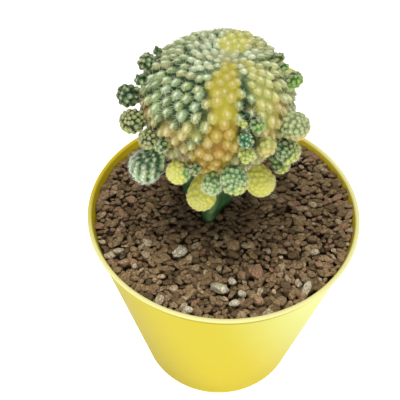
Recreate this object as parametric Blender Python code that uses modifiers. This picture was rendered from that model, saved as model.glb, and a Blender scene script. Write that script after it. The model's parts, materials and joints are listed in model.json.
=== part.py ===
# Potted weingartia: a squat variegated cactus with a ring of small offsets, grafted on a
# three-angled green rootstock that stands in gravel, in a yellow plastic pot.
# Metres, +Z up, +X to the right and -Y to the front. The origin is the middle of the pot's foot.
import math
import random

import bmesh
import bpy
import numpy as np
from mathutils import Matrix, Vector
from mathutils.geometry import delaunay_2d_cdt

MM = 0.001
GAP = 0.3*MM                      # between pieces that touch
GOLDEN_ANGLE = math.pi*(3 - math.sqrt(5))
SEED = 11
MERGE = 0.01*MM                   # points closer than this are one

# Pot
POT_HEIGHT = 92.5*MM
POT_RIM_RADIUS = 52.5*MM
POT_FOOT_RADIUS = 34.8*MM
POT_WALL = 1.1*MM
LIP_RADIUS = 0.8*MM               # of the rounded lip
LIP_OVERHANG = 0.6*MM             # how far the lip stands out from the wall
FOOT_FILLET = 4*MM
FOOT_RING_WIDTH = 3.5*MM          # of the ring that the pot stands on
FOOT_RECESS = 1.5*MM              # of the base inside that ring
POT_SIDES = 36
DRAIN_HOLES = 4
DRAIN_HOLE_RADIUS = 3*MM
DRAIN_HOLE_SIDES = 10
DRAIN_CIRCLE_RADIUS = 20*MM

# Potting mix and gravel
MIX_LEVEL = 74*MM                 # top of the mix, under the gravel
GRAVEL_LEVEL = 88.3*MM            # between the stones, in the middle
GRAVEL_RISE = 1.0*MM              # at the right edge, above the middle
STONES = 200
STONE_LOW, STONE_HIGH = 0.8*MM, 2.5*MM
STONE_SLIP = 0.9*MM               # how far a stone strays from the even pattern

# Rootstock: three wings round a core, which turn a little on their way up
STEM_X, STEM_Y = -5.5*MM, 6.5*MM  # in the gravel; the top stands under the head's middle
STEM_WINGS = (-90, 20, 160)       # directions of the wings in the gravel, in degrees
STEM_TWIST = 22                   # degrees, from the gravel to the top
STEM_WING_REACH = 12.6*MM
STEM_WING_THICKNESS = 2.4*MM      # half of it, near the edge
STEM_HOLLOW_REACH = 6*MM          # from the axis to the middle of a side
STEM_FOOT = 46*MM                 # lowest point, in the mix
STEM_WAVE = 0.4*MM                # of the wings' edges
STEM_WAVE_LENGTH = 13*MM
STEM_STEPS = 7                    # sections from the gravel to the top
STEM_BURIED = 6*MM                # where those sections start, under the gravel's level
# Where it narrows, as (height over the foot or depth under the top, share of the full width)
STEM_FOOT_TAPER = ((0, 0.35), (3*MM, 0.7), (10*MM, 0.92))
STEM_SHOULDER = 5*MM
STEM_TOP_TAPER = ((2*MM, 0.86), (0, 0.70))

# Mother head: a spheroid with a flatter upper half, leaning a little to the front and right
HEAD_X, HEAD_Y, HEAD_Z = -4*MM, 4*MM, 142*MM
HEAD_RADIUS = 26.2*MM             # to the tips of the tubercles
HEAD_CROWN = 19.8*MM              # half height above the widest level
HEAD_BELLY = 26*MM                # half height below it
HEAD_LEAN = 4                     # degrees, to the front and to the right
HEAD_SEAT = 119.5*MM              # flat underside, on the rootstock
CROWN_SINK, CROWN_SINK_RADIUS = 2*MM, 7*MM
# Where the head is fuller or flatter, as (azimuth, latitude, spread in degrees, share of its radius)
HEAD_SWELLS = ((58, 38, 22, 0.045), (128, 40, 26, -0.035))
WOOL_LENGTH, WOOL_WIDTH = 12*MM, 5*MM

# Tubercles of the mother head
TUBERCLE_PITCH_CROWN, TUBERCLE_PITCH_FLANK = 2.9*MM, 5.1*MM
TUBERCLE_PITCH_RAMP = 24*MM       # from the crown along the skin, where the pitch has grown
TUBERCLE_HEIGHT = 1.7*MM          # at the flank pitch
TUBERCLE_TOP_ACROSS, TUBERCLE_TOP_DOWN = 0.42, 0.56    # size of the top, as parts of its cell
TUBERCLE_LIFTS = (1, 0.8, 0.6)    # heights that are tried beside an offset, as parts of the full one

# Spines
SPINE_LENGTH = 2.1*MM
SPINE_THICKNESS = 0.5*MM
SPINE_ROOT = 0.7*MM               # sunk into the tubercle
SPINE_CLEARANCE = 0.35*MM         # to anything beside it
SPINE_APART = 0.77*MM             # between the middles of spines of different heads
SPINE_OUT, SPINE_SIDE, SPINE_DOWN = 0.55, 0.75, 0.3    # how a spine points, as parts of its length

# Variegation: yellow sectors of the head as (left, right, spread of the left edge at the
# foot), all in degrees of azimuth; 0 is to the right and -90 to the front
YELLOW_SECTORS = ((-104, -70, 24), (-57, -29, 4), (24, 80, 0))
YELLOW_SPREAD_LATITUDE = 40       # above it the sectors have straight edges

# Offsets as (azimuth, latitude, radius in mm, centre's height over the head in radii,
# colour). Azimuth and latitude are degrees on the head, and latitude 0 is its widest level.
OFFSETS = (
    (178, 29, 2.8, 0.65, "green"), (-171, 21, 2.2, 0.65, "green"),
    (-173, 0, 3.9, 0.95, "green"), (-156, -6, 4.2, 0.90, "mixed"),
    (-140, -9, 3.4, 0.60, "green"), (-128, -7, 2.1, 0.65, "green"),
    (-147, -40, 5.9, 1.45, "green"), (-114, -25, 4.1, 0.70, "yellow"),
    (-102, -16, 2.0, 0.75, "green"), (-96, -50, 5.2, 1.60, "yellow"),
    (-89, -30, 3.3, 1.15, "green"), (-75, -17, 4.7, 0.90, "mixed"),
    (-46, -39, 5.2, 1.20, "yellow"), (-60, 28, 2.3, 0.65, "green"),
    (-70, 18, 2.4, 0.75, "green"), (-69, 4, 2.7, 0.65, "mixed"),
    (-55, 7, 3.1, 0.60, "yellow"), (-30, 11, 4.7, 0.70, "mixed"),
    (-35, -9, 4.3, 0.85, "mixed"), (-27, -32, 3.3, 1.70, "mixed"),
    (-2, 32, 2.8, 0.70, "green"), (17, 45, 1.6, 0.70, "green"),
    (6, 42, 1.5, 0.70, "green"), (165, 35, 1.7, 0.60, "green"),
    (2, -24, 4.3, 0.80, "green"), (33, -6, 4.1, 0.75, "yellow"),
    (38, -34, 4.6, 0.90, "mixed"), (66, -17, 3.7, 0.80, "green"),
    (92, -32, 4.7, 0.90, "green"), (98, -3, 2.8, 0.65, "green"),
    (124, -19, 4.1, 0.80, "mixed"), (153, 4, 2.8, 0.70, "green"),
    (155, -27, 4.4, 0.85, "green"), (-71, 31, 1.4, 0.70, "mixed"),
)
OFFSET_VALLEY = 0.25              # depth between an offset's tubercles, in its radius
OFFSET_TUBERCLE_PITCH = 2.6*MM
OFFSET_TUBERCLES_LEAST, OFFSET_TUBERCLES_MOST = 16, 26
OFFSET_SKIN_GAP = GAP + 0.1*MM    # between an offset's foot and the head's skin
OFFSET_SPINES = ((3*MM, 9), (0, 6))    # offsets wider than this radius have this many spines
OFFSET_SPINE_SPOT = 0.7           # from a tubercle's tip to its valley
OFFSET_SPINES_FROM = -0.25        # lowest tubercles with a spine, in the offset's radius
NECK_TAPER = 0.3                  # narrowing of an offset's neck where it is drawn out most
OFFSET_SPINE_LENGTH = 1.4*MM
OFFSET_SPINE_THICKNESS = 0.4*MM

COLOURS = {
    "pot_plastic": ((0.90, 0.70, 0.03, 1), 0.32),
    "mix": ((0.09, 0.05, 0.03, 1), 0.95),
    "grit": ((0.22, 0.12, 0.08, 1), 0.92),
    "stem_green": ((0.02, 0.09, 0.04, 1), 0.45),
    "skin_green": ((0.13, 0.24, 0.11, 1), 0.55),
    "skin_yellow": ((0.66, 0.55, 0.10, 1), 0.55),
    "skin_mixed": ((0.32, 0.40, 0.10, 1), 0.55),
    "areole_wool": ((0.72, 0.70, 0.55, 1), 0.9),
    "spine": ((0.80, 0.78, 0.66, 1), 0.6),
}


def new_material(name):
    colour, roughness = COLOURS[name]
    material = bpy.data.materials.new(name)
    material.use_nodes = True
    shader = material.node_tree.nodes["Principled BSDF"]
    shader.inputs["Base Color"].default_value = colour
    shader.inputs["Roughness"].default_value = roughness
    shader.inputs["Metallic"].default_value = 0
    return material


def new_collection(name):
    collection = bpy.data.collections.new(name)
    bpy.context.scene.collection.children.link(collection)
    return collection


def new_object(name, mesh, collection, materials):
    obj = bpy.data.objects.new(name, mesh)
    collection.objects.link(obj)
    for material in materials:
        mesh.materials.append(material)
    return obj


def mesh_from(bm, name):
    mesh = bpy.data.meshes.new(name)
    bmesh.ops.recalc_face_normals(bm, faces=bm.faces[:])
    bm.to_mesh(mesh)
    bm.free()
    return mesh


def smooth(mesh, sharp_angle):
    mesh.shade_smooth()
    mesh.set_sharp_from_angle(angle=math.radians(sharp_angle))


def as_cutter(obj, collection):
    for old in obj.users_collection[:]:
        old.objects.unlink(obj)
    collection.objects.link(obj)
    obj.hide_render = True
    obj.display_type = "WIRE"


def boolean(obj, operation, cutter=None, collection=None):
    modifier = obj.modifiers.new(operation.lower(), "BOOLEAN")
    modifier.operation = operation
    modifier.solver = "EXACT"
    modifier.material_mode = "TRANSFER"
    if collection:
        modifier.operand_type = "COLLECTION"
        modifier.collection = collection
    else:
        modifier.object = cutter
    return modifier


def arc(centre_x, centre_z, radius, start, end, steps):
    angles = [math.radians(start + (end - start)*i/steps) for i in range(steps + 1)]
    return [(centre_x + radius*math.cos(a), centre_z + radius*math.sin(a)) for a in angles]


def turned(name, profile, collection, material):
    mesh = bpy.data.meshes.new(name)
    edges = [(i, i + 1) for i in range(len(profile) - 1)]
    mesh.from_pydata([(x, 0, z) for x, z in profile], edges, [])
    obj = new_object(name, mesh, collection, [material])
    screw = obj.modifiers.new("turn", "SCREW")
    screw.steps = screw.render_steps = POT_SIDES
    screw.use_merge_vertices = True
    screw.merge_threshold = MERGE
    screw.use_smooth_shade = True
    return obj


# Pot, potting mix and gravel

def pot_outside(z):
    rim = POT_RIM_RADIUS - LIP_OVERHANG
    return POT_FOOT_RADIUS + (rim - POT_FOOT_RADIUS)*z/POT_HEIGHT


def pot_inside(z):
    return pot_outside(z) - POT_WALL


def pot_profile():
    floor = FOOT_RECESS + POT_WALL
    lip_x, lip_z = POT_RIM_RADIUS - LIP_RADIUS, POT_HEIGHT - LIP_RADIUS
    lip_under = lip_z - LIP_RADIUS
    fillet_x = pot_outside(FOOT_FILLET) - FOOT_FILLET
    ring_inside = pot_outside(0) - FOOT_FILLET - FOOT_RING_WIDTH
    profile = [(0, floor), (pot_inside(floor) - POT_WALL, floor), (pot_inside(2*floor), 2*floor)]
    profile += [(pot_inside(lip_under), lip_under)]
    profile += arc(lip_x, lip_z, LIP_RADIUS, 160, -40, 4)
    profile += [(pot_outside(lip_under), lip_under)]
    profile += arc(fillet_x, FOOT_FILLET, FOOT_FILLET, 0, -90, 2)
    profile += [(ring_inside, 0), (ring_inside - FOOT_RECESS, FOOT_RECESS), (0, FOOT_RECESS)]
    return profile


def make_pot(parts, cutters, material):
    pot = turned("pot", pot_profile(), parts, material)
    for i in range(DRAIN_HOLES):
        angle = 2*math.pi*i/DRAIN_HOLES
        bpy.ops.mesh.primitive_cylinder_add(vertices=DRAIN_HOLE_SIDES, radius=DRAIN_HOLE_RADIUS,
                                            depth=6*POT_WALL)
        hole = bpy.context.object
        hole.name = "drain_hole_%d" % (i + 1)
        hole.location = (DRAIN_CIRCLE_RADIUS*math.cos(angle), DRAIN_CIRCLE_RADIUS*math.sin(angle),
                         FOOT_RECESS)
        as_cutter(hole, cutters)
    boolean(pot, "DIFFERENCE", collection=cutters)


def stem_outline(grow):
    """Points round the rootstock, from above: a rounded edge on each wing, a shallow hollow between."""
    points = []
    reach, thickness, hollow = STEM_WING_REACH + grow, STEM_WING_THICKNESS + grow, STEM_HOLLOW_REACH + grow
    for i, wing in enumerate(STEM_WINGS):
        following = STEM_WINGS[(i + 1) % 3] + (360 if i == 2 else 0)
        along = Vector((math.cos(math.radians(wing)), math.sin(math.radians(wing)), 0))
        across = Vector((-along.y, along.x, 0))
        between = math.radians((wing + following)/2)
        points += [along*(reach - thickness) - across*thickness, along*reach,
                   along*(reach - thickness) + across*thickness]
        points += [Vector((math.cos(between), math.sin(between), 0))*hollow]
    return points


def stem_body(name, levels, grow, twist=0):
    """Loft of stem outlines; each level is (height, scale of the outline, wave of the wing edges)."""
    bm = bmesh.new()
    rings = []
    twist_start = POT_HEIGHT
    for height, scale, wave in levels:
        climb = min(1, max(0, (height - twist_start)/(HEAD_SEAT - twist_start)))
        turn = Matrix.Rotation(math.radians(twist*climb), 3, "Z")
        lean = climb if twist else 0
        centre = Vector((STEM_X, STEM_Y, 0)).lerp(Vector((HEAD_X, HEAD_Y, 0)), lean)
        ring = []
        for point in stem_outline(grow):
            reach = point.length
            edge = max(0, reach - STEM_HOLLOW_REACH)/(STEM_WING_REACH - STEM_HOLLOW_REACH)
            placed = centre + turn @ point*(scale + wave*edge/reach)
            ring.append(bm.verts.new((placed.x, placed.y, height)))
        rings.append(ring)
    for lower, upper in zip(rings, rings[1:]):
        for i in range(len(lower)):
            j = (i + 1) % len(lower)
            bm.faces.new((lower[i], lower[j], upper[j], upper[i]))
    bm.faces.new(rings[0])
    bm.faces.new(rings[-1])
    return mesh_from(bm, name)


def make_rootstock(parts, material):
    top = HEAD_SEAT - GAP
    levels = [(STEM_FOOT + rise, scale, 0) for rise, scale in STEM_FOOT_TAPER]
    visible = GRAVEL_LEVEL - STEM_BURIED
    for i in range(STEM_STEPS + 1):
        height = visible + (top - STEM_SHOULDER - visible)*i/STEM_STEPS
        levels.append((height, 1, STEM_WAVE*math.cos(2*math.pi*(height - visible)/STEM_WAVE_LENGTH)))
    levels += [(top - depth, scale, 0) for depth, scale in STEM_TOP_TAPER]
    rootstock = new_object("rootstock", stem_body("rootstock", levels, 0, STEM_TWIST), parts, [material])
    smooth(rootstock.data, 50)


def make_stem_hole(cutters, material):
    clearance = STEM_WAVE + GAP
    levels = [(STEM_FOOT - GAP, 1, 0), (POT_HEIGHT + 10*MM, 1, 0)]
    hole = new_object("stem_hole", stem_body("stem_hole", levels, clearance), cutters, [material])
    as_cutter(hole, cutters)
    return hole


def make_mix(parts, stem_hole, material):
    floor = FOOT_RECESS + POT_WALL + GAP
    low = 2*(FOOT_RECESS + POT_WALL) + GAP
    profile = [(0, MIX_LEVEL), (pot_inside(MIX_LEVEL) - GAP, MIX_LEVEL), (pot_inside(low) - GAP, low),
               (pot_inside(floor) - POT_WALL - 2*GAP, floor), (0, floor)]
    mix = turned("potting_mix", profile, parts, material)
    boolean(mix, "DIFFERENCE", cutter=stem_hole)


def make_gravel(parts, stem_hole, material):
    """A layer whose top is a field of stones: each is a peak, with a low point in every gap."""
    rng = random.Random(SEED)
    edge_radius = pot_inside(GRAVEL_LEVEL) - 2*GAP

    def low_level(x):
        return GRAVEL_LEVEL + GRAVEL_RISE*x/edge_radius

    points = []
    for i in range(STONES):
        radius = (edge_radius - STONE_HIGH)*math.sqrt((i + 0.5)/STONES)
        angle = i*GOLDEN_ANGLE
        slip = Vector((rng.uniform(-1, 1), rng.uniform(-1, 1)))*STONE_SLIP
        points.append(Vector((radius*math.cos(angle), radius*math.sin(angle))) + slip)
    for i in range(POT_SIDES):
        angle = 2*math.pi*i/POT_SIDES
        points.append(Vector((math.cos(angle), math.sin(angle)))*edge_radius)
    flat_points, _, triangles = delaunay_2d_cdt(points, [], [], 0, MERGE)[:3]
    bm = bmesh.new()
    for i, point in enumerate(flat_points):
        height = rng.uniform(STONE_LOW, STONE_HIGH) if i < STONES else STONE_LOW
        bm.verts.new((point.x, point.y, low_level(point.x) + height))
    bm.verts.ensure_lookup_table()
    for triangle in triangles:
        bm.faces.new([bm.verts[i] for i in triangle])
    for vert in bmesh.ops.poke(bm, faces=bm.faces[:])["verts"]:
        vert.co.z = low_level(vert.co.x)
    rim = [edge for edge in bm.edges if edge.is_boundary]
    bottom = MIX_LEVEL + GAP
    extruded = bmesh.ops.extrude_edge_only(bm, edges=rim)["geom"]
    for vert in [part for part in extruded if isinstance(part, bmesh.types.BMVert)]:
        flat = Vector((vert.co.x, vert.co.y, 0)).normalized()*(pot_inside(bottom) - 2*GAP)
        vert.co = (flat.x, flat.y, bottom)
    bmesh.ops.holes_fill(bm, edges=[edge for edge in bm.edges if edge.is_boundary])
    gravel = new_object("gravel", mesh_from(bm, "gravel"), parts, [material])
    boolean(gravel, "DIFFERENCE", cutter=stem_hole)


# Mother head

HEAD_CENTRE = Vector((HEAD_X, HEAD_Y, HEAD_Z))
HEAD_TURN = (Matrix.Rotation(math.radians(HEAD_LEAN), 3, "X")
             @ Matrix.Rotation(math.radians(HEAD_LEAN), 3, "Y"))


def head_half_height(z, inset):
    return (HEAD_CROWN if z > 0 else HEAD_BELLY) - inset


def on_azimuth(azimuth, latitude):
    a, b = math.radians(azimuth), math.radians(latitude)
    return Vector((math.cos(b)*math.cos(a), math.cos(b)*math.sin(a), math.sin(b)))


def head_swell(direction):
    """How far the skin lies from the plain spheroid in a unit direction, as a share of the radius."""
    swell = 0
    for azimuth, latitude, spread, share in HEAD_SWELLS:
        angle = math.degrees(direction.angle(on_azimuth(azimuth, latitude)))
        swell += share*math.exp(-(angle/spread)**2)
    return swell


def head_point(direction, inset=0):
    """Where a unit direction of the head meets its skin, in the head's own axes."""
    radius = HEAD_RADIUS - inset
    half = head_half_height(direction.z, inset)
    point = Vector((direction.x*radius, direction.y*radius, direction.z*half))
    if direction.z > 0:
        off_axis = math.hypot(point.x, point.y)/CROWN_SINK_RADIUS
        point.z -= CROWN_SINK*math.exp(-off_axis*off_axis)
    return point*(1 + head_swell(direction))


def head_normal(point):
    half = head_half_height(point.z, 0)
    return Vector((point.x/HEAD_RADIUS**2, point.y/HEAD_RADIUS**2, point.z/half**2)).normalized()


def skin_distance(point, inset):
    """Height of a point over the inset skin, in the head's own axes, with the way out."""
    radius, half = HEAD_RADIUS - inset, head_half_height(point.z, inset)
    scaled = Vector((point.x/radius, point.y/radius, point.z/half))
    slope = Vector((point.x/radius**2, point.y/radius**2, point.z/half**2))/scaled.length
    rise = scaled.length - 1 - head_swell(scaled.normalized())
    return rise/slope.length, slope.normalized()


def to_world(point):
    return HEAD_CENTRE + HEAD_TURN @ point


def tubercle_spiral():
    """Golden-angle spiral from the crown to the base, with a pitch that grows down the flank."""
    polar = np.linspace(0, math.pi, 600)
    radius = HEAD_RADIUS*np.sin(polar)
    height = np.where(polar < math.pi/2, HEAD_CROWN, HEAD_BELLY)*np.cos(polar)
    arc_steps = np.hypot(np.diff(radius), np.diff(height))
    along = np.concatenate([[0], np.cumsum(arc_steps)])
    grown = np.clip(along/TUBERCLE_PITCH_RAMP, 0, 1)
    pitch = TUBERCLE_PITCH_CROWN + (TUBERCLE_PITCH_FLANK - TUBERCLE_PITCH_CROWN)*grown
    per_length = 2*math.pi*radius/(math.sqrt(3)/2*pitch**2)
    steps = (per_length[1:] + per_length[:-1])/2*arc_steps
    count = np.concatenate([[0], np.cumsum(steps)])
    spiral = []
    for i in range(int(count[-1])):
        angle = float(np.interp(i + 0.5, count, polar))
        turn = i*GOLDEN_ANGLE
        ring = math.sin(angle)
        direction = Vector((ring*math.cos(turn), ring*math.sin(turn), math.cos(angle)))
        spiral.append((direction, float(np.interp(angle, polar, pitch))))
    return spiral


def cells_round(directions):
    """For each direction, the ring of unit directions where it meets its neighbours."""
    bm = bmesh.new()
    seeds = [bm.verts.new(direction) for direction in directions]
    bmesh.ops.convex_hull(bm, input=bm.verts[:])
    rings = []
    for seed, direction in zip(seeds, directions):
        across = direction.orthogonal().normalized()
        upward = direction.cross(across)
        ordered = sorted((face.calc_center_median().normalized() for face in seed.link_faces),
                         key=lambda c: math.atan2(c.dot(upward), c.dot(across)))
        rings.append(ordered)
    bm.free()
    return rings


def is_yellow(direction):
    azimuth = math.degrees(math.atan2(direction.y, direction.x))
    latitude = math.degrees(math.asin(direction.z))
    down = min(1, max(0, 1 - latitude/YELLOW_SPREAD_LATITUDE))
    return any(left - spread*down < azimuth < right for left, right, spread in YELLOW_SECTORS)


def in_wool(point):
    return point.z > 0 and math.hypot(point.x/(WOOL_LENGTH/2), point.y/(WOOL_WIDTH/2)) < 1


class Offset:
    """One offset: a ball on the head's skin, drawn out towards the skin so that it meets it."""

    def __init__(self, azimuth, latitude, radius_mm, height, colour):
        skin = head_point(on_azimuth(azimuth, latitude))
        self.normal = head_normal(skin)
        self.radius = radius_mm*MM
        self.centre = skin + self.normal*(height*self.radius)
        self.colour = colour
        across = self.normal.orthogonal().normalized()
        self.turn = Matrix((across, self.normal.cross(across), self.normal)).transposed()
        reach = height*self.radius + TUBERCLE_HEIGHT
        self.stretch = max(1, reach/self.radius)

    def clearance(self, point):
        """Distance of a point, in the head's own axes, from the ball; negative inside it."""
        local = self.turn.transposed() @ (point - self.centre)
        if local.z < 0:
            local.z /= self.stretch
        return local.length - self.radius


def clear_of(point, offsets, margin):
    return all(offset.clearance(point) > margin for offset in offsets)


def raise_tubercle(bm, face, direction, offsets, slots):
    """Lift the middle of a cell to the skin; returns the top face, or None beside an offset."""
    top_skin = head_point(direction)
    normal = head_normal(top_skin)
    across = Vector((0, 0, 1)).cross(normal).normalized()
    middle = face.calc_center_median()
    lift = (top_skin - middle).dot(normal)
    corners = []
    for vert in face.verts:
        spoke = vert.co - middle
        side = across*spoke.dot(across)
        down = spoke - side
        flat = side*TUBERCLE_TOP_ACROSS + (down - normal*down.dot(normal))*TUBERCLE_TOP_DOWN
        corners.append(flat)
    for part in TUBERCLE_LIFTS:
        tops = [middle + normal*lift*part + flat for flat in corners]
        if all(clear_of(top, offsets, GAP + SPINE_CLEARANCE) for top in tops):
            break
    else:
        return None
    bmesh.ops.inset_individual(bm, faces=[face], thickness=0, use_even_offset=False)
    for vert, top in zip(face.verts, tops):
        vert.co = top
    face.material_index = slots["areole_wool"]
    return face


def spine(collection, root, direction, length, thickness, material, name):
    bm = bmesh.new()
    bmesh.ops.create_cone(bm, cap_ends=True, segments=3, radius1=thickness/math.sqrt(3), radius2=0,
                          depth=length + SPINE_ROOT)
    start = root - direction*SPINE_ROOT
    turn = direction.to_track_quat("Z", "Y").to_matrix().to_4x4()
    middle = start + direction*(length + SPINE_ROOT)/2
    bm.transform(Matrix.Translation(middle) @ turn)
    bmesh.ops.remove_doubles(bm, verts=bm.verts[:], dist=MERGE)
    return new_object(name, mesh_from(bm, name), collection, [material])


class SpineBed:
    """Remembers every spine, so that spines of different heads don't cross."""

    def __init__(self):
        self.placed = []

    def accepts(self, root, tip, owner):
        steps = [root.lerp(tip, part/4) for part in range(5)]
        for other_owner, other_steps in self.placed:
            if other_owner != owner and (other_steps[2] - steps[2]).length < 2*SPINE_LENGTH:
                if any((a - b).length < SPINE_APART for a in steps for b in other_steps):
                    return False
        self.placed.append((owner, steps))
        return True


def fuse(obj, pieces):
    """One Boolean union with everything in a collection, applied, and the collection emptied."""
    boolean(obj, "UNION", collection=pieces)
    depsgraph = bpy.context.evaluated_depsgraph_get()
    fused = bpy.data.meshes.new_from_object(obj.evaluated_get(depsgraph))
    obj.modifiers.clear()
    plain, obj.data = obj.data, fused
    bpy.data.meshes.remove(plain)
    for piece in pieces.objects[:]:
        bpy.data.objects.remove(piece)
    bpy.data.collections.remove(pieces)


def make_head(parts, materials, offsets, bed):
    slots = {"skin_green": 0, "skin_yellow": 1, "areole_wool": 2, "spine": 3}
    seat_margin = 2*TUBERCLE_HEIGHT
    spiral = tubercle_spiral()
    rings = cells_round([direction for direction, _ in spiral])
    bm = bmesh.new()
    shared = {}
    cells = []
    for (direction, pitch), ring in zip(spiral, rings):
        inset = TUBERCLE_HEIGHT*pitch/TUBERCLE_PITCH_FLANK
        corners = []
        for corner in ring:
            key = tuple(round(value, 5) for value in corner)
            if key not in shared:
                shared[key] = bm.verts.new(head_point(corner, inset))
            corners.append(shared[key])
        face = bm.faces.new(corners)
        face.material_index = slots["skin_yellow" if is_yellow(direction) else "skin_green"]
        cells.append((face, direction))
    bm.normal_update()
    pieces = new_collection("head_spines")
    for i, (face, direction) in enumerate(cells):
        tip = head_point(direction)
        if in_wool(tip):
            face.material_index = slots["areole_wool"]
            continue
        if to_world(tip).z < HEAD_SEAT + seat_margin:
            continue
        top = raise_tubercle(bm, face, direction, offsets, slots)
        if top:
            add_head_spine(i, top, direction, pieces, materials, offsets, bed)
    for vert in bm.verts:
        world = to_world(vert.co)
        world.z = max(world.z, HEAD_SEAT)
        vert.co = world
    side_faces = [face for face in bm.faces if face.material_index != slots["areole_wool"]]
    bmesh.ops.triangulate(bm, faces=side_faces)
    skins = [materials[name] for name in slots]
    head = new_object("mother_head", mesh_from(bm, "mother_head"), parts, skins)
    fuse(head, pieces)
    smooth(head.data, 60)


def add_head_spine(index, top, direction, pieces, materials, offsets, bed):
    normal = head_normal(head_point(direction))
    across = Vector((0, 0, 1)).cross(normal).normalized()
    upward = normal.cross(across)
    side = 1 if index % 2 else -1
    aim = (normal*SPINE_OUT + across*side*SPINE_SIDE - upward*SPINE_DOWN).normalized()
    root = top.calc_center_median()
    tip = root + aim*SPINE_LENGTH
    if not all(clear_of(root.lerp(tip, part), offsets, 2*SPINE_CLEARANCE) for part in (0.5, 1)):
        return
    world_root, world_tip = to_world(root), to_world(tip)
    if world_tip.z < HEAD_SEAT or not bed.accepts(world_root, world_tip, "mother_head"):
        return
    spine(pieces, world_root, HEAD_TURN @ aim, SPINE_LENGTH, SPINE_THICKNESS, materials["spine"],
          "head_spine_%03d" % index)


def golden_ball(count):
    ball = []
    for i in range(count):
        z = 1 - (2*i + 1)/count
        ring, turn = math.sqrt(1 - z*z), i*GOLDEN_ANGLE
        ball.append(Vector((ring*math.cos(turn), ring*math.sin(turn), z)))
    return ball


def make_offset(number, offset, others, parts, materials, bed):
    name = "offset_%02d" % number
    radius = offset.radius
    area = 4*math.pi*radius**2
    count = round(area/(math.sqrt(3)/2*OFFSET_TUBERCLE_PITCH**2))
    count = min(OFFSET_TUBERCLES_MOST, max(OFFSET_TUBERCLES_LEAST, count))
    bm = bmesh.new()
    tips = [bm.verts.new(direction*radius) for direction in golden_ball(count)]
    bmesh.ops.convex_hull(bm, input=bm.verts[:])
    for vert in bmesh.ops.poke(bm, faces=bm.faces[:])["verts"]:
        vert.co = vert.co.normalized()*radius*(1 - OFFSET_VALLEY)
    roots = []
    for tip in tips:
        if tip.co.z > OFFSET_SPINES_FROM*radius:
            beside = tip.link_faces[0].calc_center_median()
            roots.append((tip.co.lerp(beside, OFFSET_SPINE_SPOT), tip.co.normalized()))
    for vert in bm.verts:
        if vert.co.z < 0:
            narrowing = 1 + NECK_TAPER*(offset.stretch - 1)*vert.co.z/radius
            vert.co = Vector((vert.co.x*narrowing, vert.co.y*narrowing, vert.co.z*offset.stretch))
        vert.co = offset.centre + offset.turn @ vert.co
        for _ in range(2):
            height, outward = skin_distance(vert.co, TUBERCLE_HEIGHT)
            vert.co += outward*max(0, OFFSET_SKIN_GAP - height)
        vert.co = to_world(vert.co)
    skins = [materials["skin_" + offset.colour], materials["spine"]]
    obj = new_object(name, mesh_from(bm, name), parts, skins)
    pieces = new_collection(name + "_spines")
    wanted = next(spines for over, spines in OFFSET_SPINES if radius > over)
    step = max(1, len(roots)//wanted)
    for i, (root, direction) in enumerate(roots[::step]):
        aim = offset.turn @ direction
        root_point = offset.centre + offset.turn @ root
        tip_point = root_point + aim*OFFSET_SPINE_LENGTH
        height, _ = skin_distance(tip_point, 0)
        if height < 2*SPINE_CLEARANCE or not clear_of(tip_point, others, 2*SPINE_CLEARANCE):
            continue
        world_root, world_tip = to_world(root_point), to_world(tip_point)
        if bed.accepts(world_root, world_tip, name):
            spine(pieces, world_root, HEAD_TURN @ aim, OFFSET_SPINE_LENGTH, OFFSET_SPINE_THICKNESS,
                  materials["spine"], "%s_spine_%d" % (name, i))
    fuse(obj, pieces)
    smooth(obj.data, 60)


def main():
    for old in bpy.data.objects[:]:
        bpy.data.objects.remove(old)
    parts = new_collection("potted_weingartia")
    drain_cutters = new_collection("drain_cutters")
    stem_cutters = new_collection("stem_cutters")
    materials = {name: new_material(name) for name in COLOURS}

    make_pot(parts, drain_cutters, materials["pot_plastic"])
    stem_hole = make_stem_hole(stem_cutters, materials["mix"])
    make_mix(parts, stem_hole, materials["mix"])
    make_gravel(parts, stem_hole, materials["grit"])
    make_rootstock(parts, materials["stem_green"])

    offsets = [Offset(*spec) for spec in OFFSETS]
    bed = SpineBed()
    for number, offset in enumerate(offsets, 1):
        others = [other for other in offsets if other is not offset]
        make_offset(number, offset, others, parts, materials, bed)
    make_head(parts, materials, offsets, bed)


main()
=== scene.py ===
# Potted weingartia: a squat variegated cactus with a ring of offsets, grafted on a three-angled
# green stem that stands in red-brown grit, in a yellow plastic pot. Metres, +Z up, -Y to the front.
import json
import math
import random

import bmesh
import bpy
import numpy as np
from mathutils import Matrix, Vector, noise


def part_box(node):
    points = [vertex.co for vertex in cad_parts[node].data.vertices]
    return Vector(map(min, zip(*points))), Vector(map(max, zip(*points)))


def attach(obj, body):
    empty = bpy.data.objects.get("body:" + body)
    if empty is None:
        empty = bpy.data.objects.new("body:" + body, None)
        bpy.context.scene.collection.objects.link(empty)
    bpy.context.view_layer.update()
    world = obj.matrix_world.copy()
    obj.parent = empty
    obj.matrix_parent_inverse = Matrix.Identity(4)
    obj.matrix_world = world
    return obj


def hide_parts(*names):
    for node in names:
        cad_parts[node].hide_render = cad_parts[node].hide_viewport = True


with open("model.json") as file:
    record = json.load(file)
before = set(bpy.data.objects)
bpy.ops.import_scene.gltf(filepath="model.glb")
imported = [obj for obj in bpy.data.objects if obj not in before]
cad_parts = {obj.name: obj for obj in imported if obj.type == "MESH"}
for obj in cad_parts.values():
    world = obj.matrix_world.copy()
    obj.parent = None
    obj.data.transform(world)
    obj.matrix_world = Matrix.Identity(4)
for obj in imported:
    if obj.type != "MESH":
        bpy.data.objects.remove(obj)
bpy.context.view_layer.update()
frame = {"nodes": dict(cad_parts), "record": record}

mm = 0.001
goldenAngle = math.pi*(3 - math.sqrt(5))
body = "root"


# Node trees written as sums: a wire is an output that can be added to, scaled and so on

def isVector(value):
    if isinstance(value, Wire):
        return value.socket.type == "VECTOR"
    return isinstance(value, tuple)


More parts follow.
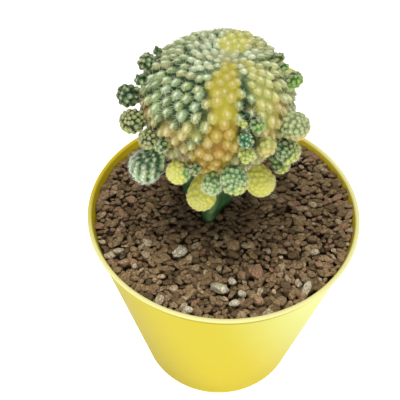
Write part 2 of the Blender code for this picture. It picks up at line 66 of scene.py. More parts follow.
class Wire:
    def __init__(self, graph, socket):
        self.graph = graph
        self.socket = socket

    def __add__(self, other):
        return self.graph.maths("ADD", self, other)

    __radd__ = __add__

    def __sub__(self, other):
        return self.graph.maths("SUBTRACT", self, other)

    def __rsub__(self, other):
        return self.graph.maths("SUBTRACT", other, self)

    def __mul__(self, other):
        return self.graph.maths("MULTIPLY", self, other)

    __rmul__ = __mul__

    def __truediv__(self, other):
        return self.graph.maths("DIVIDE", self, other)

    def __pow__(self, other):
        return self.graph.maths("POWER", self, other)


class Graph:
    def __init__(self, tree):
        self.tree = tree

    def node(self, kind, settings=None, sockets=None, out=0):
        made = self.tree.nodes.new(kind)
        for key, value in (settings or {}).items():
            if key == "stops":
                setStops(made.color_ramp, value)
            else:
                setattr(made, key, value)
        for key, value in (sockets or {}).items():
            self.plug(value, made.inputs[key])
        return Wire(self, made.outputs[out])

    def plug(self, value, socket):
        if isinstance(value, Wire):
            self.tree.links.new(value.socket, socket)
        elif socket.type == "VECTOR" and isinstance(value, (int, float)):
            socket.default_value = (value, value, value)
        elif socket.type == "RGBA":
            socket.default_value = (*value, 1)
        else:
            socket.default_value = value

    def maths(self, operation, *values):
        kind = "ShaderNodeVectorMath" if any(isVector(value) for value in values) else "ShaderNodeMath"
        out = 1 if operation in ("DOT_PRODUCT", "LENGTH", "DISTANCE") else 0
        return self.node(kind, {"operation": operation}, dict(enumerate(values)), out)

    def ease(self, value, low, high, start=0, end=1):  # smooth step from start to end
        return self.node("ShaderNodeMapRange", {"interpolation_type": "SMOOTHSTEP"},
                         {0: value, 1: low, 2: high, 3: start, 4: end})

    def hypot(self, x, y):
        return self.maths("SQRT", x*x + y*y)

    def mix(self, share, first, second):
        return self.node("ShaderNodeMix", {"data_type": "RGBA"}, {0: share, 6: first, 7: second}, 2)

    def ramp(self, value, stops):
        return self.node("ShaderNodeValToRGB", {"stops": stops}, {0: value})

    def noise(self, spot, size, detail=2.0, rough=0.5):  # size is that of one lump, in metres
        return self.node("ShaderNodeTexNoise", {}, {"Vector": spot, "Scale": 1/size, "Detail": detail,
                                                    "Roughness": rough})

    def parts(self, vector):
        split = self.node("ShaderNodeSeparateXYZ", {}, {0: vector})
        return [Wire(self, output) for output in split.socket.node.outputs]

    def join(self, x, y, z):
        return self.node("ShaderNodeCombineXYZ", {}, {0: x, 1: y, 2: z})


def setStops(ramp, stops):
    while len(ramp.elements) < len(stops):
        ramp.elements.new(0.5)
    for element, (place, colour) in zip(ramp.elements, stops):
        element.position = place
        element.color = (*colour, 1)


class Finish(Graph):  # a material whose colour, roughness and bump are wires
    def __init__(self, name, specular=0.5):
        self.material = bpy.data.materials.new(name)
        self.material.use_nodes = True
        super().__init__(self.material.node_tree)
        self.shader = self.tree.nodes["Principled BSDF"]
        self.shader.inputs["Specular IOR Level"].default_value = specular
        self.spot = self.node("ShaderNodeTexCoord", out="Object")

    def read(self, name, out="Fac"):  # a number or a colour kept on the piece's points
        return self.node("ShaderNodeAttribute", {"attribute_name": name}, out=out)

    def colour(self, value):
        self.plug(value, self.shader.inputs["Base Color"])

    def roughness(self, value):
        self.plug(value, self.shader.inputs["Roughness"])

    def bump(self, height, depth):  # depth in metres, for a height from 0 to 1
        bump = self.node("ShaderNodeBump", {}, {"Strength": 1.0, "Distance": depth, "Height": height})
        self.plug(bump, self.shader.inputs["Normal"])


class Growth(Graph):  # a geometry tree; its named inputs are listed by their kinds
    def __init__(self, name, **inputs):
        super().__init__(bpy.data.node_groups.new(name, "GeometryNodeTree"))
        self.tree.interface.new_socket("Geometry", in_out="OUTPUT", socket_type="NodeSocketGeometry")
        for kind, labels in {"Geometry": "Geometry", **inputs}.items():
            for label in labels.split(", "):
                self.tree.interface.new_socket(label, in_out="INPUT", socket_type="NodeSocket" + kind)
        self.source = self.tree.nodes.new("NodeGroupInput")
        self.spot = self.node("GeometryNodeInputPosition")
        self.outward = self.node("GeometryNodeInputNormal")

    def __getitem__(self, label):
        return Wire(self, self.source.outputs[label])

    def kept(self, name, kind="FLOAT"):  # an attribute of the geometry at hand
        return self.node("GeometryNodeInputNamedAttribute", {"data_type": kind}, {"Name": name})

    def keep(self, geometry, kind="FLOAT", **values):
        settings = {"data_type": kind, "domain": "POINT"}
        for name, value in values.items():
            geometry = self.node("GeometryNodeStoreNamedAttribute", settings,
                                 {"Geometry": geometry, "Name": name, "Value": value})
        return geometry

    def draw(self, low, high, seed):  # a random number for each point
        return self.node("FunctionNodeRandomValue", {"data_type": "FLOAT"}, {2: low, 3: high, 8: seed}, 1)

    def draws(self, spread, seed, many):  # that many of them, each up to the spread on both sides of 0
        return [self.draw(-spread, spread, seed + step) for step in range(many)]

    def shift(self, geometry, offset):
        return self.node("GeometryNodeSetPosition", {}, {"Geometry": geometry, "Offset": offset})

    def place(self, geometry, position):
        return self.node("GeometryNodeSetPosition", {}, {"Geometry": geometry, "Position": position})

    def joined(self, *geometries):
        join = self.node("GeometryNodeJoinGeometry")
        for geometry in geometries:
            self.plug(geometry, join.socket.node.inputs[0])
        return join

    def cleared(self, points, target, kind, gap):  # without the points that are nearer to the target
        away = self.node("GeometryNodeProximity", {"target_element": kind}, {0: target}, "Distance")
        return self.node("GeometryNodeDeleteGeometry", {"domain": "POINT"},
                         {"Geometry": points, "Selection": self.maths("LESS_THAN", away, gap)})

    def tube(self, sides, levels):  # closed at both ends, with a radius and a height of 1
        return self.node("GeometryNodeMeshCylinder", {"fill_type": "NGON"},
                         {"Vertices": sides, "Side Segments": levels, "Radius": 1.0, "Depth": 1.0})

    def smooth(self, geometry):
        return self.node("GeometryNodeSetShadeSmooth", {}, {"Geometry": geometry})

    def shapeOf(self, label):  # the mesh of an object that is an input
        return self.node("GeometryNodeObjectInfo", {}, {"Object": self[label]}, "Geometry")

    def finish(self, geometry, material):
        real = self.node("GeometryNodeRealizeInstances", {}, {"Geometry": geometry})
        painted = self.node("GeometryNodeSetMaterial", {}, {"Geometry": real, "Material": material})
        target = self.tree.nodes.new("NodeGroupOutput")
        self.tree.links.new(painted.socket, target.inputs[0])


def weighed(weights, *marks):  # sum of the marks, each times its weight
    return sum(weight*mark for weight, mark in zip(weights, marks))


def newPiece(name, mesh):
    piece = bpy.data.objects.new(name, mesh)
    bpy.context.scene.collection.objects.link(piece)
    return piece


def plainMesh(piece):  # applies every modifier
    bpy.context.view_layer.update()
    depsgraph = bpy.context.evaluated_depsgraph_get()
    plain = bpy.data.meshes.new_from_object(piece.evaluated_get(depsgraph),
                                            preserve_all_data_layers=True, depsgraph=depsgraph)
    piece.modifiers.clear()
    old, piece.data = piece.data, plain
    if not old.users:
        bpy.data.meshes.remove(old)
    return piece


def grown(name, mesh, growth, values):  # a piece made by a tree, whose inputs are among the values
    piece = newPiece(name, mesh)
    modifier = piece.modifiers.new("growth", "NODES")
    modifier.node_group = growth.tree
    for item in growth.tree.interface.items_tree:
        if item.in_out == "INPUT" and item.name in values:
            modifier[item.identifier] = values[item.name]
    return plainMesh(piece)


def coat(piece, material):
    piece.data.materials.clear()
    piece.data.materials.append(material)


def pointCloud(name, spots, **marks):  # loose points with an attribute for each mark
    mesh = bpy.data.meshes.new(name)
    mesh.from_pydata([tuple(spot) for spot in spots], [], [])
    for label, values in marks.items():
        keepOn(mesh, label, values)
    return mesh


def keepOn(mesh, label, values):
    values = np.asarray(values, np.float32)
    isFlat = values.ndim == 1
    mark = mesh.attributes.new(label, "FLOAT" if isFlat else "FLOAT_VECTOR", "POINT")
    mark.data.foreach_set("value" if isFlat else "vector", values.ravel())


def spotsOf(mesh):
    spots = np.zeros(len(mesh.vertices)*3, np.float32)
    mesh.vertices.foreach_get("co", spots)
    return spots.reshape(-1, 3).astype(float)


def setSpots(mesh, spots):
    mesh.vertices.foreach_set("co", spots.astype(np.float32).ravel())
    mesh.update()


def dropObject(piece):
    mesh = piece.data
    bpy.data.objects.remove(piece)
    bpy.data.meshes.remove(mesh)


# Camera: over the pot and looking down on it, with a small tilt of the frame

view = {
    "lens": 58.5, "sensor": 36,  # mm
    "distance": 0.252,
    "elevation": 48.6,
    "roll": 3.0,
    "aim": 0.0926,  # height of the point that the camera turns round
    "shift": (-0.061125, 0.01025),  # in widths of the frame
    "nearest": 0.01,  # what is seen, in metres
}


def makeCamera():
    tilt, roll = math.radians(view["elevation"]), math.radians(view["roll"])
    back = Vector((0, -math.cos(tilt), math.sin(tilt)))
    right = Vector((1, 0, 0))
    up = back.cross(right)
    right, up = right*math.cos(roll) + up*math.sin(roll), up*math.cos(roll) - right*math.sin(roll)
    data = bpy.data.cameras.new("camera")
    data.sensor_width = view["sensor"]
    data.lens = view["lens"]
    data.shift_x, data.shift_y = view["shift"]
    data.clip_start = view["nearest"]
    camera = bpy.data.objects.new("camera", data)
    turn = Matrix((right, up, back)).transposed().to_4x4()
    camera.matrix_world = Matrix.Translation(Vector((0, 0, view["aim"])) + back*view["distance"]) @ turn
    bpy.context.scene.collection.objects.link(camera)
    bpy.context.scene.camera = camera


makeCamera()
print("camera placed")


# Pot: thin moulded plastic with a rounded lip, a standing ring and four drain holes.
# In each piece's values, what ends in Shade is where a share starts and ends, then the shares there
# if they aren't 0 and 1. Marks, such as clouds, are noise: the size of a lump, its detail and how
# rough it is. Roughness and bump hold weights of marks, roughness with that of the bare finish first.

potLow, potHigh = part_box("pot")
pot = {
    "height": potHigh.z,
    "rimRadius": (potHigh.x - potLow.x)/2,
    "footRadius": 34.8*mm,
    "wall": 1.1*mm,
    "lipRadius": 0.8*mm,
    "lipOverhang": 0.6*mm,
    "lipBend": (170, -40),  # degrees round the lip, from the inside to the outside
    "lipFoot": 1.4,  # where the wall meets it outside, in its radii below its middle
    "footFillet": 4*mm,
    "footRingWidth": 3.5*mm,
    "footRecess": 1.5*mm,
    "bendSteps": (5, 12, 6),  # of the fillet inside, the lip and the fillet at the foot
    "sides": 144,
    "weld": 0.01*mm,  # points of the turned wall nearer than this are one
    "sharp": 40,  # degrees at an edge that stays sharp
    "drainHoles": 4,
    "drainHoleRadius": 3*mm, "drainHoleSides": 32,
    "drainCircleRadius": 20*mm,
    "drillLength": 8*mm,
    "yellow": (0.5, 0.42, 0.004),
    # Painted glow of light through the plastic: a deeper, brighter yellow towards the foot, also used for
    # the plastic's own clouds
    "deepYellow": (0.54, 0.43, 0.004), "deepBelow": 20*mm,
    "clouds": (18*mm, 2), "cloudShade": (0.35, 0.65, 0, 0.25),
    # Painted light makes the side towards the right paler, and painted shade darkens the other; both
    # borders lean with the height
    "faded": (0.66, 0.74, 0.3), "fadedShade": (20*mm, 75*mm, 0, 0.85),
    "shaded": (0.38, 0.3, 0.002), "shadedShade": (-24*mm, 10*mm, 0.9, 0),
    "borderLean": 0.3,
    "bandYellow": (0.36, 0.28, 0.004),  # of the duller band under the lip
    "bandDepth": 4*mm, "bandBlur": 0.5*mm,
    # From the inside to the outside of the wall: radii at the foot, and how they grow with the height
    "insideYellow": (0.82, 0.58, 0.01), "outsideShade": (33.6*mm, 34.4*mm), "outsideSlope": 0.18,
    # Painted highlight along the lip, turning to painted shade towards the back and the left
    "lipYellow": (0.76, 0.72, 0.3), "lipOchre": (0.6, 0.45, 0.02),
    "lipShade": (1.6, 0.6),  # in its radii below the top
    "ochreShade": (-5*mm, 40*mm), "ochreLean": 0.6,
    "specular": 0.15,
    "smears": (5*mm, 3), "roughness": (0.5, 0.12),
    "grain": (0.5*mm, 3), "grainDepth": 0.02*mm,
}


def potOutside(z):
    rim = pot["rimRadius"] - pot["lipOverhang"]
    return pot["footRadius"] + (rim - pot["footRadius"])*z/pot["height"]


def potInside(z):
    return potOutside(z) - pot["wall"]


def bend(centreX, centreZ, radius, start, end, steps):
    angles = [math.radians(start + (end - start)*i/steps) for i in range(steps + 1)]
    return [(centreX + radius*math.cos(a), centreZ + radius*math.sin(a)) for a in angles]


def potProfile():
    fillet, lip, recess = pot["footFillet"], pot["lipRadius"], pot["footRecess"]
    insideSteps, lipSteps, footSteps = pot["bendSteps"]
    lipZ = pot["height"] - lip
    lipFoot = lipZ - pot["lipFoot"]*lip
    ringInside = potOutside(0) - fillet - pot["footRingWidth"]
    insideFillet = fillet - pot["wall"]
    insideZ = recess + pot["wall"] + insideFillet
    profile = [(0, recess + pot["wall"])]
    profile += bend(potInside(insideZ) - insideFillet, insideZ, insideFillet, -90, 0, insideSteps)
    profile += [(potInside(lipZ - lip), lipZ - lip)]
    profile += bend(pot["rimRadius"] - lip, lipZ, lip, *pot["lipBend"], lipSteps)
    profile += [(potOutside(lipFoot), lipFoot)]
    profile += bend(potOutside(fillet) - fillet, fillet, fillet, 0, -90, footSteps)
    profile += [(ringInside, 0), (ringInside - recess, recess), (0, recess)]
    return profile


def turned(name, profile):
    mesh = bpy.data.meshes.new(name)
    mesh.from_pydata([(x, 0, z) for x, z in profile], [(i, i + 1) for i in range(len(profile) - 1)], [])
    piece = newPiece(name, mesh)
    screw = piece.modifiers.new("turn", "SCREW")
    screw.steps = screw.render_steps = pot["sides"]
    screw.use_merge_vertices = True
    screw.merge_threshold = pot["weld"]
    return piece


def cutDrainHoles(piece):
    cutters = []
    for i in range(pot["drainHoles"]):
        angle = 2*math.pi*i/pot["drainHoles"]
        bpy.ops.mesh.primitive_cylinder_add(vertices=pot["drainHoleSides"], radius=pot["drainHoleRadius"],
                                            depth=pot["drillLength"])
        cutter = bpy.context.object
        cutter.location = (pot["drainCircleRadius"]*math.cos(angle),
                           pot["drainCircleRadius"]*math.sin(angle), pot["footRecess"])
        cutters.append(cutter)
        cut = piece.modifiers.new("drain hole", "BOOLEAN")
        cut.operation = "DIFFERENCE"
        cut.solver = "EXACT"
        cut.object = cutter
    plainMesh(piece)
    for cutter in cutters:
        dropObject(cutter)


def potFinish():
    finish = Finish("yellowPlastic", pot["specular"])
    x, y, z = finish.parts(finish.spot)
    clouds = finish.noise(finish.spot, *pot["clouds"])
    # Painted glow of light through the plastic, deeper yellow towards the foot
    wall = finish.mix(finish.ease(z, pot["deepBelow"], pot["height"]), pot["deepYellow"], pot["yellow"])
    wall = finish.mix(finish.ease(clouds, *pot["cloudShade"]), wall, pot["deepYellow"])
    # Painted light on the right of the wall and painted shade on its left
    along = x + pot["borderLean"]*z
    wall = finish.mix(finish.ease(along, *pot["fadedShade"]), wall, pot["faded"])
    wall = finish.mix(finish.ease(along, *pot["shadedShade"]), wall, pot["shaded"])
    band, blur = pot["height"] - pot["bandDepth"], pot["bandBlur"]
    wall = finish.mix(finish.ease(z, band - blur, band + blur), wall, pot["bandYellow"])
    outside = finish.ease(finish.hypot(x, y) - pot["outsideSlope"]*z, *pot["outsideShade"])
    wall = finish.mix(outside, pot["insideYellow"], wall)
    # Painted highlight on the lip, with painted shade on it towards the back and the left
    lip = finish.ease(z, *[pot["height"] - radii*pot["lipRadius"] for radii in pot["lipShade"]])
    ochre = finish.ease(y - pot["ochreLean"]*x, *pot["ochreShade"])
    finish.colour(finish.mix(lip, wall, finish.mix(ochre, pot["lipYellow"], pot["lipOchre"])))
    finish.roughness(weighed(pot["roughness"], 1, finish.noise(finish.spot, *pot["smears"])))
    finish.bump(finish.noise(finish.spot, *pot["grain"]), pot["grainDepth"])
    return finish.material


def makePot():
    piece = turned("yellowPot", potProfile())
    cutDrainHoles(piece)
    piece.data.shade_smooth()
    piece.data.set_sharp_from_angle(angle=math.radians(pot["sharp"]))
    coat(piece, potFinish())
    return piece


yellowPot = makePot()
print("pot turned")


# Potting mix: hidden under the grit, so the solid stays and gets the look of damp peat

peat = {
    "crumbs": (1.6*mm, 6, 0.65), "crumbDepth": 0.8*mm,
    "tones": ((0.3, (0.012, 0.007, 0.004)), (0.55, (0.045, 0.026, 0.015)), (0.75, (0.12, 0.075, 0.045))),
    "roughness": (0.85, 0.15),
}


def peatFinish():
    finish = Finish("pottingMix")
    crumbs = finish.noise(finish.spot, *peat["crumbs"])
    finish.colour(finish.ramp(crumbs, peat["tones"]))
    finish.roughness(weighed(peat["roughness"], 1, crumbs))
    finish.bump(crumbs, peat["crumbDepth"])
    return finish.material


coat(frame["nodes"]["potting_mix"], peatFinish())
print("potting mix painted")


# Rootstock: a three-winged stem with scalloped edges, which turns a little on its way up

stem = {
    "wings": (-90, 20, 160),  # directions of the wings in the grit, in degrees
    "twist": math.radians(22),  # from the rim's level to the top
    "reach": 12.6*mm,
    "hollow": 6*mm,  # from the axis to the middle of a side
    "wingSpread": math.radians(24),  # on each side of a wing's edge
    "wingRound": 1.7,
    "blunt": 0.9999,  # just under 1, which would crease the edge
    "wave": 0.5*mm,
    "waveLength": 13*mm,
    "waveStart": 82.3*mm,
    "lumps": (5*mm, 3), "lumpHeight": 0.6*mm,
    "lumpCircle": 8*mm,  # radius at which the lumps are read
    "foot": 46*mm, "footShade": (0, 10*mm, 0.35, 1),  # it narrows towards both ends
    "top": 119.2*mm, "topShade": (0, 5*mm, 0.7, 1),
    "x": -5.5*mm, "y": 6.5*mm,  # in the grit
    "topX": -4*mm, "topY": 4*mm,  # under the head
    "sides": 180, "levels": 110,
    "green": (0.03, 0.085, 0.026), "lightGreen": (0.06, 0.16, 0.045), "edge": (0.14, 0.22, 0.08),
    "cork": (0.3, 0.28, 0.16), "corkShade": (0.9, 0.97), "corkShare": 0.4,
    "clouds": (7*mm, 3), "cloudShade": (0.35, 0.65),
    "flecks": (0.9*mm, 2), "fleckShade": (0.6, 0.75, 0, 0.35), "fleckDepth": 0.08*mm,
    "edgeShade": (0.85, 1.0, 0, 0.6),
    "roughness": (0.36, 0.2, 0.3),
}


def stemGrowth():
    g = Growth("stemGrowth", Float="reach, hollow, wave, waveLength, twist, top, foot", Material="skin")
    x, y, z = g.parts(g.spot)
    height = g["foot"] + (z + 0.5)*(g["top"] - g["foot"])
    climb = g.node("ShaderNodeMapRange", {}, {0: height, 1: pot["height"], 2: g["top"]})
    around = g.maths("ARCTAN2", y, x)
    edge = 0.0
    for wing in stem["wings"]:
        away = g.maths("ARCCOSINE", stem["blunt"]*g.maths("COSINE", around - math.radians(wing)))
        edge = edge + g.maths("EXPONENT", 0 - (away/stem["wingSpread"])**stem["wingRound"])
    beat = g.maths("COSINE", 2*math.pi*(height - stem["waveStart"])/g["waveLength"])
    lumps = g.noise(g.join(x*stem["lumpCircle"], y*stem["lumpCircle"], height), *stem["lumps"]) - 0.5
    radius = g["hollow"] + (g["reach"] - g["hollow"] + g["wave"]*beat)*edge + lumps*stem["lumpHeight"]
    ends = g.ease(g["top"] - height, *stem["topShade"])*g.ease(height - g["foot"], *stem["footShade"])
    radius = radius*ends*g.hypot(x, y)  # the last is 1 on the side and less on the flat ends
    turn = around + g["twist"]*climb
    place = g.join(stem["x"] + (stem["topX"] - stem["x"])*climb + radius*g.maths("COSINE", turn),
                   stem["y"] + (stem["topY"] - stem["y"])*climb + radius*g.maths("SINE", turn), height)
    tube = g.keep(g.tube(stem["sides"], stem["levels"]), edge=edge, beat=beat)
    g.finish(g.smooth(g.place(tube, place)), g["skin"])
    return g


def stemFinish():
    finish = Finish("stemSkin")
    edge = finish.read("edge")
    clouds, flecks = [finish.noise(finish.spot, *stem[name]) for name in ("clouds", "flecks")]
    skin = finish.mix(finish.ease(clouds, *stem["cloudShade"]), stem["green"], stem["lightGreen"])
    skin = finish.mix(finish.ease(flecks, *stem["fleckShade"]), skin, stem["edge"])
    skin = finish.mix(finish.ease(edge, *stem["edgeShade"]), skin, stem["edge"])
    cork = finish.ease(edge*finish.read("beat"), *stem["corkShade"])
    finish.colour(finish.mix(stem["corkShare"]*cork, skin, stem["cork"]))
    finish.roughness(weighed(stem["roughness"], 1, clouds, cork))
    finish.bump(flecks, stem["fleckDepth"])
    return finish.material


graftedStem = grown("graftedStem", bpy.data.meshes.new("stemSeed"), stemGrowth(),
                    {**stem, "skin": stemFinish()})
print("rootstock grown")


# Gravel: brown volcanic grit of chipped, longish stones, with a few pale and red ones among it

grit = {
    "level": 88.9*mm,  # middle of the top layer's stones
    "rise": 1.0*mm,  # at the right edge
    "heightSpread": 0.6*mm,
    "radius": 47.6*mm,  # of the scattered stones; the rim stones stand round them
    "sides": 96,
    "spacing": 1.9*mm, "density": 9e5,  # stones at most on a square metre, before the spacing thins them
    "narrowest": 1.6*mm, "widest": 3.6*mm, "widthBias": 1.5,
    "frontSize": (-40*mm, -10*mm, 1.1, 1),  # how much larger the stones at the front are
    "freeTurn": (-30*mm, 10*mm, 1, 0.4),  # how freely they turn, from the front to the back
    "tilt": 0.45,  # radians to each side
    "aspect": (1.15, 2.1),  # length over width
    "flatness": (0.6, 0.85),  # thickness over width
    "bedDrop": 1.4*mm, "bedSpacing": 2.2*mm,  # of a second layer
    "fillDrop": 2.4*mm,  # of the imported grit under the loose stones
    "rimStones": 128, "rimRadius": 48.8*mm, "rimSpread": 0.4*mm,
    "shapes": 7,  # different stones, which are turned and stretched
    "cuts": 2,  # subdivisions of the ball that each is cut from
    "facets": 6,  # flat places on each
    "facetDepth": (0.27, 0.42),  # from a stone's middle, in widths
    "lumps": 0.16,  # depth of its lumps, in widths
    "coarseLumps": (2.4*mm, 1), "fineLumps": (0.9*mm, 1), "fineStart": (1.0, 2.0, 3.0),
    "lumpWeights": (1.6, 1),
    "stemGap": 1.2*mm, "wallGap": 0.1*mm,
    "crowd": 2.6*mm,  # room round each of the stones that stand out
    "seed": 7,
    "layers": {"top": 10, "bed": 20, "rim": 30},  # what each layer adds to the seed
    "draws": {"tilt": 41, "flatness": 43, "shape": 44, "rim": 61},  # seeds of the other draws
    "shownLift": 1.3*mm, "shownWide": 1.2,  # of the stones that stand out
    # Stones that stand out, as (x, y, length and width in mm, turn in degrees, tone from 0 to 1)
    "shown": (
        (-15.8, -22.4, 5.6, 4.2, 10, 1.0), (0.0, -37.3, 6.2, 5.0, 15, 1.0),
        (-10.9, -47.4, 4.2, 2.8, 0, 1.0), (5.4, -43.2, 4.2, 3.0, 30, 1.0),
        (30.4, -36.3, 6.0, 2.8, 60, 1.0), (34.1, -19.2, 4.2, 2.4, -30, 0.95),
        (-38.1, -23.5, 3.8, 2.3, 20, 0.95), (-27.8, -18.7, 4.2, 2.6, -20, 0.92),
        (4.1, -34.4, 3.4, 2.8, 0, 1.0), (7.6, -39.4, 3.4, 2.6, 40, 1.0),
        (13.4, -29.6, 6.4, 4.8, 70, 0.78), (4.0, -18.4, 5.2, 4.4, 0, 0.55),
        (29.5, -4.9, 5.0, 4.0, 35, 0.5), (20.8, -41.8, 5.0, 3.6, 10, 0.55),
        (-36.7, 1.9, 4.6, 3.2, -10, 0.8), (-35.2, -28.6, 4.4, 3.2, 15, 0.8),
        (13.4, -41.4, 4.4, 3.2, -35, 0.8),
    ),
    # Tones of the stones from 0 to 1
    "tones": (
        (0.00, (0.15, 0.094, 0.044)), (0.22, (0.29, 0.188, 0.092)), (0.45, (0.47, 0.31, 0.155)),
        (0.62, (0.35, 0.245, 0.125)), (0.76, (0.47, 0.26, 0.15)), (0.88, (0.64, 0.48, 0.28)),
        (1.00, (0.8, 0.72, 0.52)),
    ),
    "palest": 0.93,  # tone of the palest scattered stone
    "hollow": (0.055, 0.034, 0.016),  # in the pores and between the lumps; also the painted shade on the stones
    "mottle": (0.8*mm, 4, 0.6), "mottleShade": (0.38, 0.62, 0.45, 0),
    "pores": (0.6*mm, 2), "poreShade": (0.36, 0.5), "poreShare": 0.4,
    "sideShade": (-0.05, 0.3, 0.65, 0),  # painted shade on the stones' lower sides, by how high a point sat on its stone, before it was turned
    "damp": (-5*mm, 2*mm), "dampShade": (14*mm, 21*mm, 0.45, 0),  # painted shadow of the head, round the stem, by the distance
    # Painted shade, darker towards the back
    "backShade": (-28*mm, -5*mm, 0, 0.3),
    "specular": 0.25, "roughness": (0.8, 0.2),
    "bump": (0.6, 0.4), "bumpDepth": 0.5*mm,
}


def chippedStones(g):  # a few shapes: balls one wide, cut flat on several sides
    rng = random.Random(grit["seed"])
    stones = g.node("GeometryNodeGeometryToInstance")
    for _ in range(grit["shapes"]):
        stone = g.node("GeometryNodeMeshIcoSphere", {}, {"Radius": 0.5, "Subdivisions": grit["cuts"]})
        spot = g.spot
        for _ in range(grit["facets"]):
            away = tuple(Vector([rng.gauss(0, 1) for _ in range(3)]).normalized())
            beyond = g.maths("DOT_PRODUCT", spot, away) - rng.uniform(*grit["facetDepth"])
            spot = spot - g.node("ShaderNodeVectorMath", {"operation": "SCALE"},
                                 {0: away, "Scale": g.maths("MAXIMUM", beyond, 0.0)})
        stone = g.keep(stone, top=g.parts(g.spot)[2])
        g.plug(g.place(stone, spot), stones.socket.node.inputs[0])
    return stones


def gritGrowth():
    g = Growth("gritGrowth", Int="rimStones, seed", Object="stem", Material="grit",
               Float="radius, level, rise, spacing, bedSpacing, bedDrop, narrowest, widest, "
               "rimRadius, lumps, crowd, stemGap, wallFoot, wallSlope, fillFoot, fillTop")
    x, y, z = g.parts(g.spot)

    def marked(points, drop, layer):  # draws each stone's size, turn and tone, and lays it level
        seed = g["seed"] + grit["layers"][layer]
        width = g["narrowest"] + (g["widest"] - g["narrowest"])*g.draw(0, 1, seed)**grit["widthBias"]
        turn = g.draw(-math.pi/2, math.pi/2, seed + 2)*g.ease(y, *grit["freeTurn"])
        points = g.keep(points, width=width*g.ease(y, *grit["frontSize"]),
                        aspect=g.draw(*grit["aspect"], seed + 1), turn=turn,
                        tone=g.draw(0, grit["palest"], seed + 3))
        height = g["level"] + g["rise"]*g.maths("MAXIMUM", x/g["radius"], 0.0) - drop
        return g.place(points, g.join(x, y, height + g.draws(grit["heightSpread"], seed + 4, 1)[0]))

    def scattered(spacing, drop, layer):
        ground = g.node("GeometryNodeMeshCircle", {"fill_type": "TRIANGLE_FAN"},
                        {"Vertices": grit["sides"], "Radius": g["radius"]})
        points = g.node("GeometryNodeDistributePointsOnFaces", {"distribute_method": "POISSON"},
                        {"Mesh": ground, "Distance Min": spacing, "Density Max": grit["density"],
                         "Seed": g["seed"] + grit["layers"][layer]})
        return marked(points, drop, layer)

    def wallAt(height):
        return g["wallFoot"] + g["wallSlope"]*height

    draws = grit["draws"]
    rim = g.node("GeometryNodeMeshCircle", {}, {"Vertices": g["rimStones"], "Radius": g["rimRadius"]})
    rim = g.node("GeometryNodeMeshToPoints", {}, {"Mesh": rim})
    rim = g.shift(rim, g.join(*g.draws(grit["rimSpread"], draws["rim"], 2), 0.0))
    top = g.joined(scattered(g["spacing"], 0.0, "top"), marked(rim, 0.0, "rim"))
    top = g.cleared(top, g["Geometry"], "POINTS", g["crowd"])
    points = g.joined(top, scattered(g["bedSpacing"], g["bedDrop"], "bed"))
    points = g.joined(g.cleared(points, g.shapeOf("stem"), "FACES", g["stemGap"]), g["Geometry"])
    turn = g.join(*g.draws(grit["tilt"], draws["tilt"], 2), g.kept("turn"))
    turn = g.node("FunctionNodeEulerToRotation", {}, {0: turn})
    width = g.kept("width")
    stretch = g.join(width*g.kept("aspect"), width, width*g.draw(*grit["flatness"], draws["flatness"]))
    which = g.node("FunctionNodeRandomValue", {"data_type": "INT"},
                   {4: 0, 5: grit["shapes"] - 1, 8: draws["shape"]}, 2)
    stones = g.node("GeometryNodeInstanceOnPoints", {},
                    {"Points": points, "Instance": chippedStones(g), "Pick Instance": True,
                     "Instance Index": which, "Rotation": turn, "Scale": stretch})
    stones = g.node("GeometryNodeRealizeInstances", {}, {"Geometry": stones})
    coarse = g.noise(g.spot, *grit["coarseLumps"]) - 0.5
    fine = g.noise(g.spot + grit["fineStart"], *grit["fineLumps"]) - 0.5
    stones = g.shift(stones, g.outward*weighed(grit["lumpWeights"], coarse, fine)*g["lumps"]*width)
    inside = g.maths("MINIMUM", wallAt(z)/g.hypot(x, y), 1.0)  # stones stop at the pot's wall
    stones = g.place(stones, g.join(x*inside, y*inside, z))
    height = g["fillFoot"] + (z + 0.5)*(g["fillTop"] - g["fillFoot"])
    fill = g.place(g.tube(grit["sides"], 1), g.join(x*wallAt(height), y*wallAt(height), height))
    # The fill takes the darkest tone and the full painted shade of a stone's underside
    g.finish(g.joined(stones, g.keep(fill, tone=0.0, top=-1.0)), g["grit"])
    return g


def gritFinish():
    finish = Finish("volcanicGrit", grit["specular"])
    mottle = finish.noise(finish.spot, *grit["mottle"])
    pores = finish.ease(finish.noise(finish.spot, *grit["pores"]), *grit["poreShade"])
    # Painted shade towards the back
    y = finish.parts(finish.spot)[1]
    # Painted shadow of the head on the grit round the stem
    away = finish.maths("DISTANCE", finish.spot, (*grit["damp"], grit["level"]))
    shares = [finish.ease(mottle, *grit["mottleShade"]), grit["poreShare"]*(1 - pores),
              # Painted shade on the lower side of each stone
              finish.ease(finish.read("top"), *grit["sideShade"]),
              finish.ease(away, *grit["dampShade"]) + finish.ease(y, *grit["backShade"])]
    stone = finish.ramp(finish.read("tone"), grit["tones"])
    for share in shares:
        stone = finish.mix(share, stone, grit["hollow"])
    finish.colour(stone)
    finish.roughness(weighed(grit["roughness"], 1, mottle))
    finish.bump(weighed(grit["bump"], mottle, pores), grit["bumpDepth"])
    return finish.material


def makeGrit():
    x, y, length, width, turn, tone = np.array(grit["shown"]).T
    level = np.full(len(x), grit["level"] + grit["shownLift"])
    points = pointCloud("shownStones", np.column_stack([x*mm, y*mm, level]), turn=np.radians(turn),
                        width=grit["shownWide"]*width*mm, aspect=length/width, tone=tone)
    return grown("volcanicGravel", points, gritGrowth(), {
        **grit, "wallFoot": potInside(0) - grit["wallGap"], "wallSlope": potInside(1) - potInside(0),
        "fillFoot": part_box("gravel")[0].z, "fillTop": grit["level"] - grit["fillDrop"],
        "stem": graftedStem, "grit": gritFinish()})


volcanicGravel = makeGrit()
print("gravel scattered:", len(volcanicGravel.data.polygons), "faces")


# Skins of the plant: the head and its offsets are balls with a tubercle round each areole.
# Their sizes without mm are in pitches, from one areole to the next.

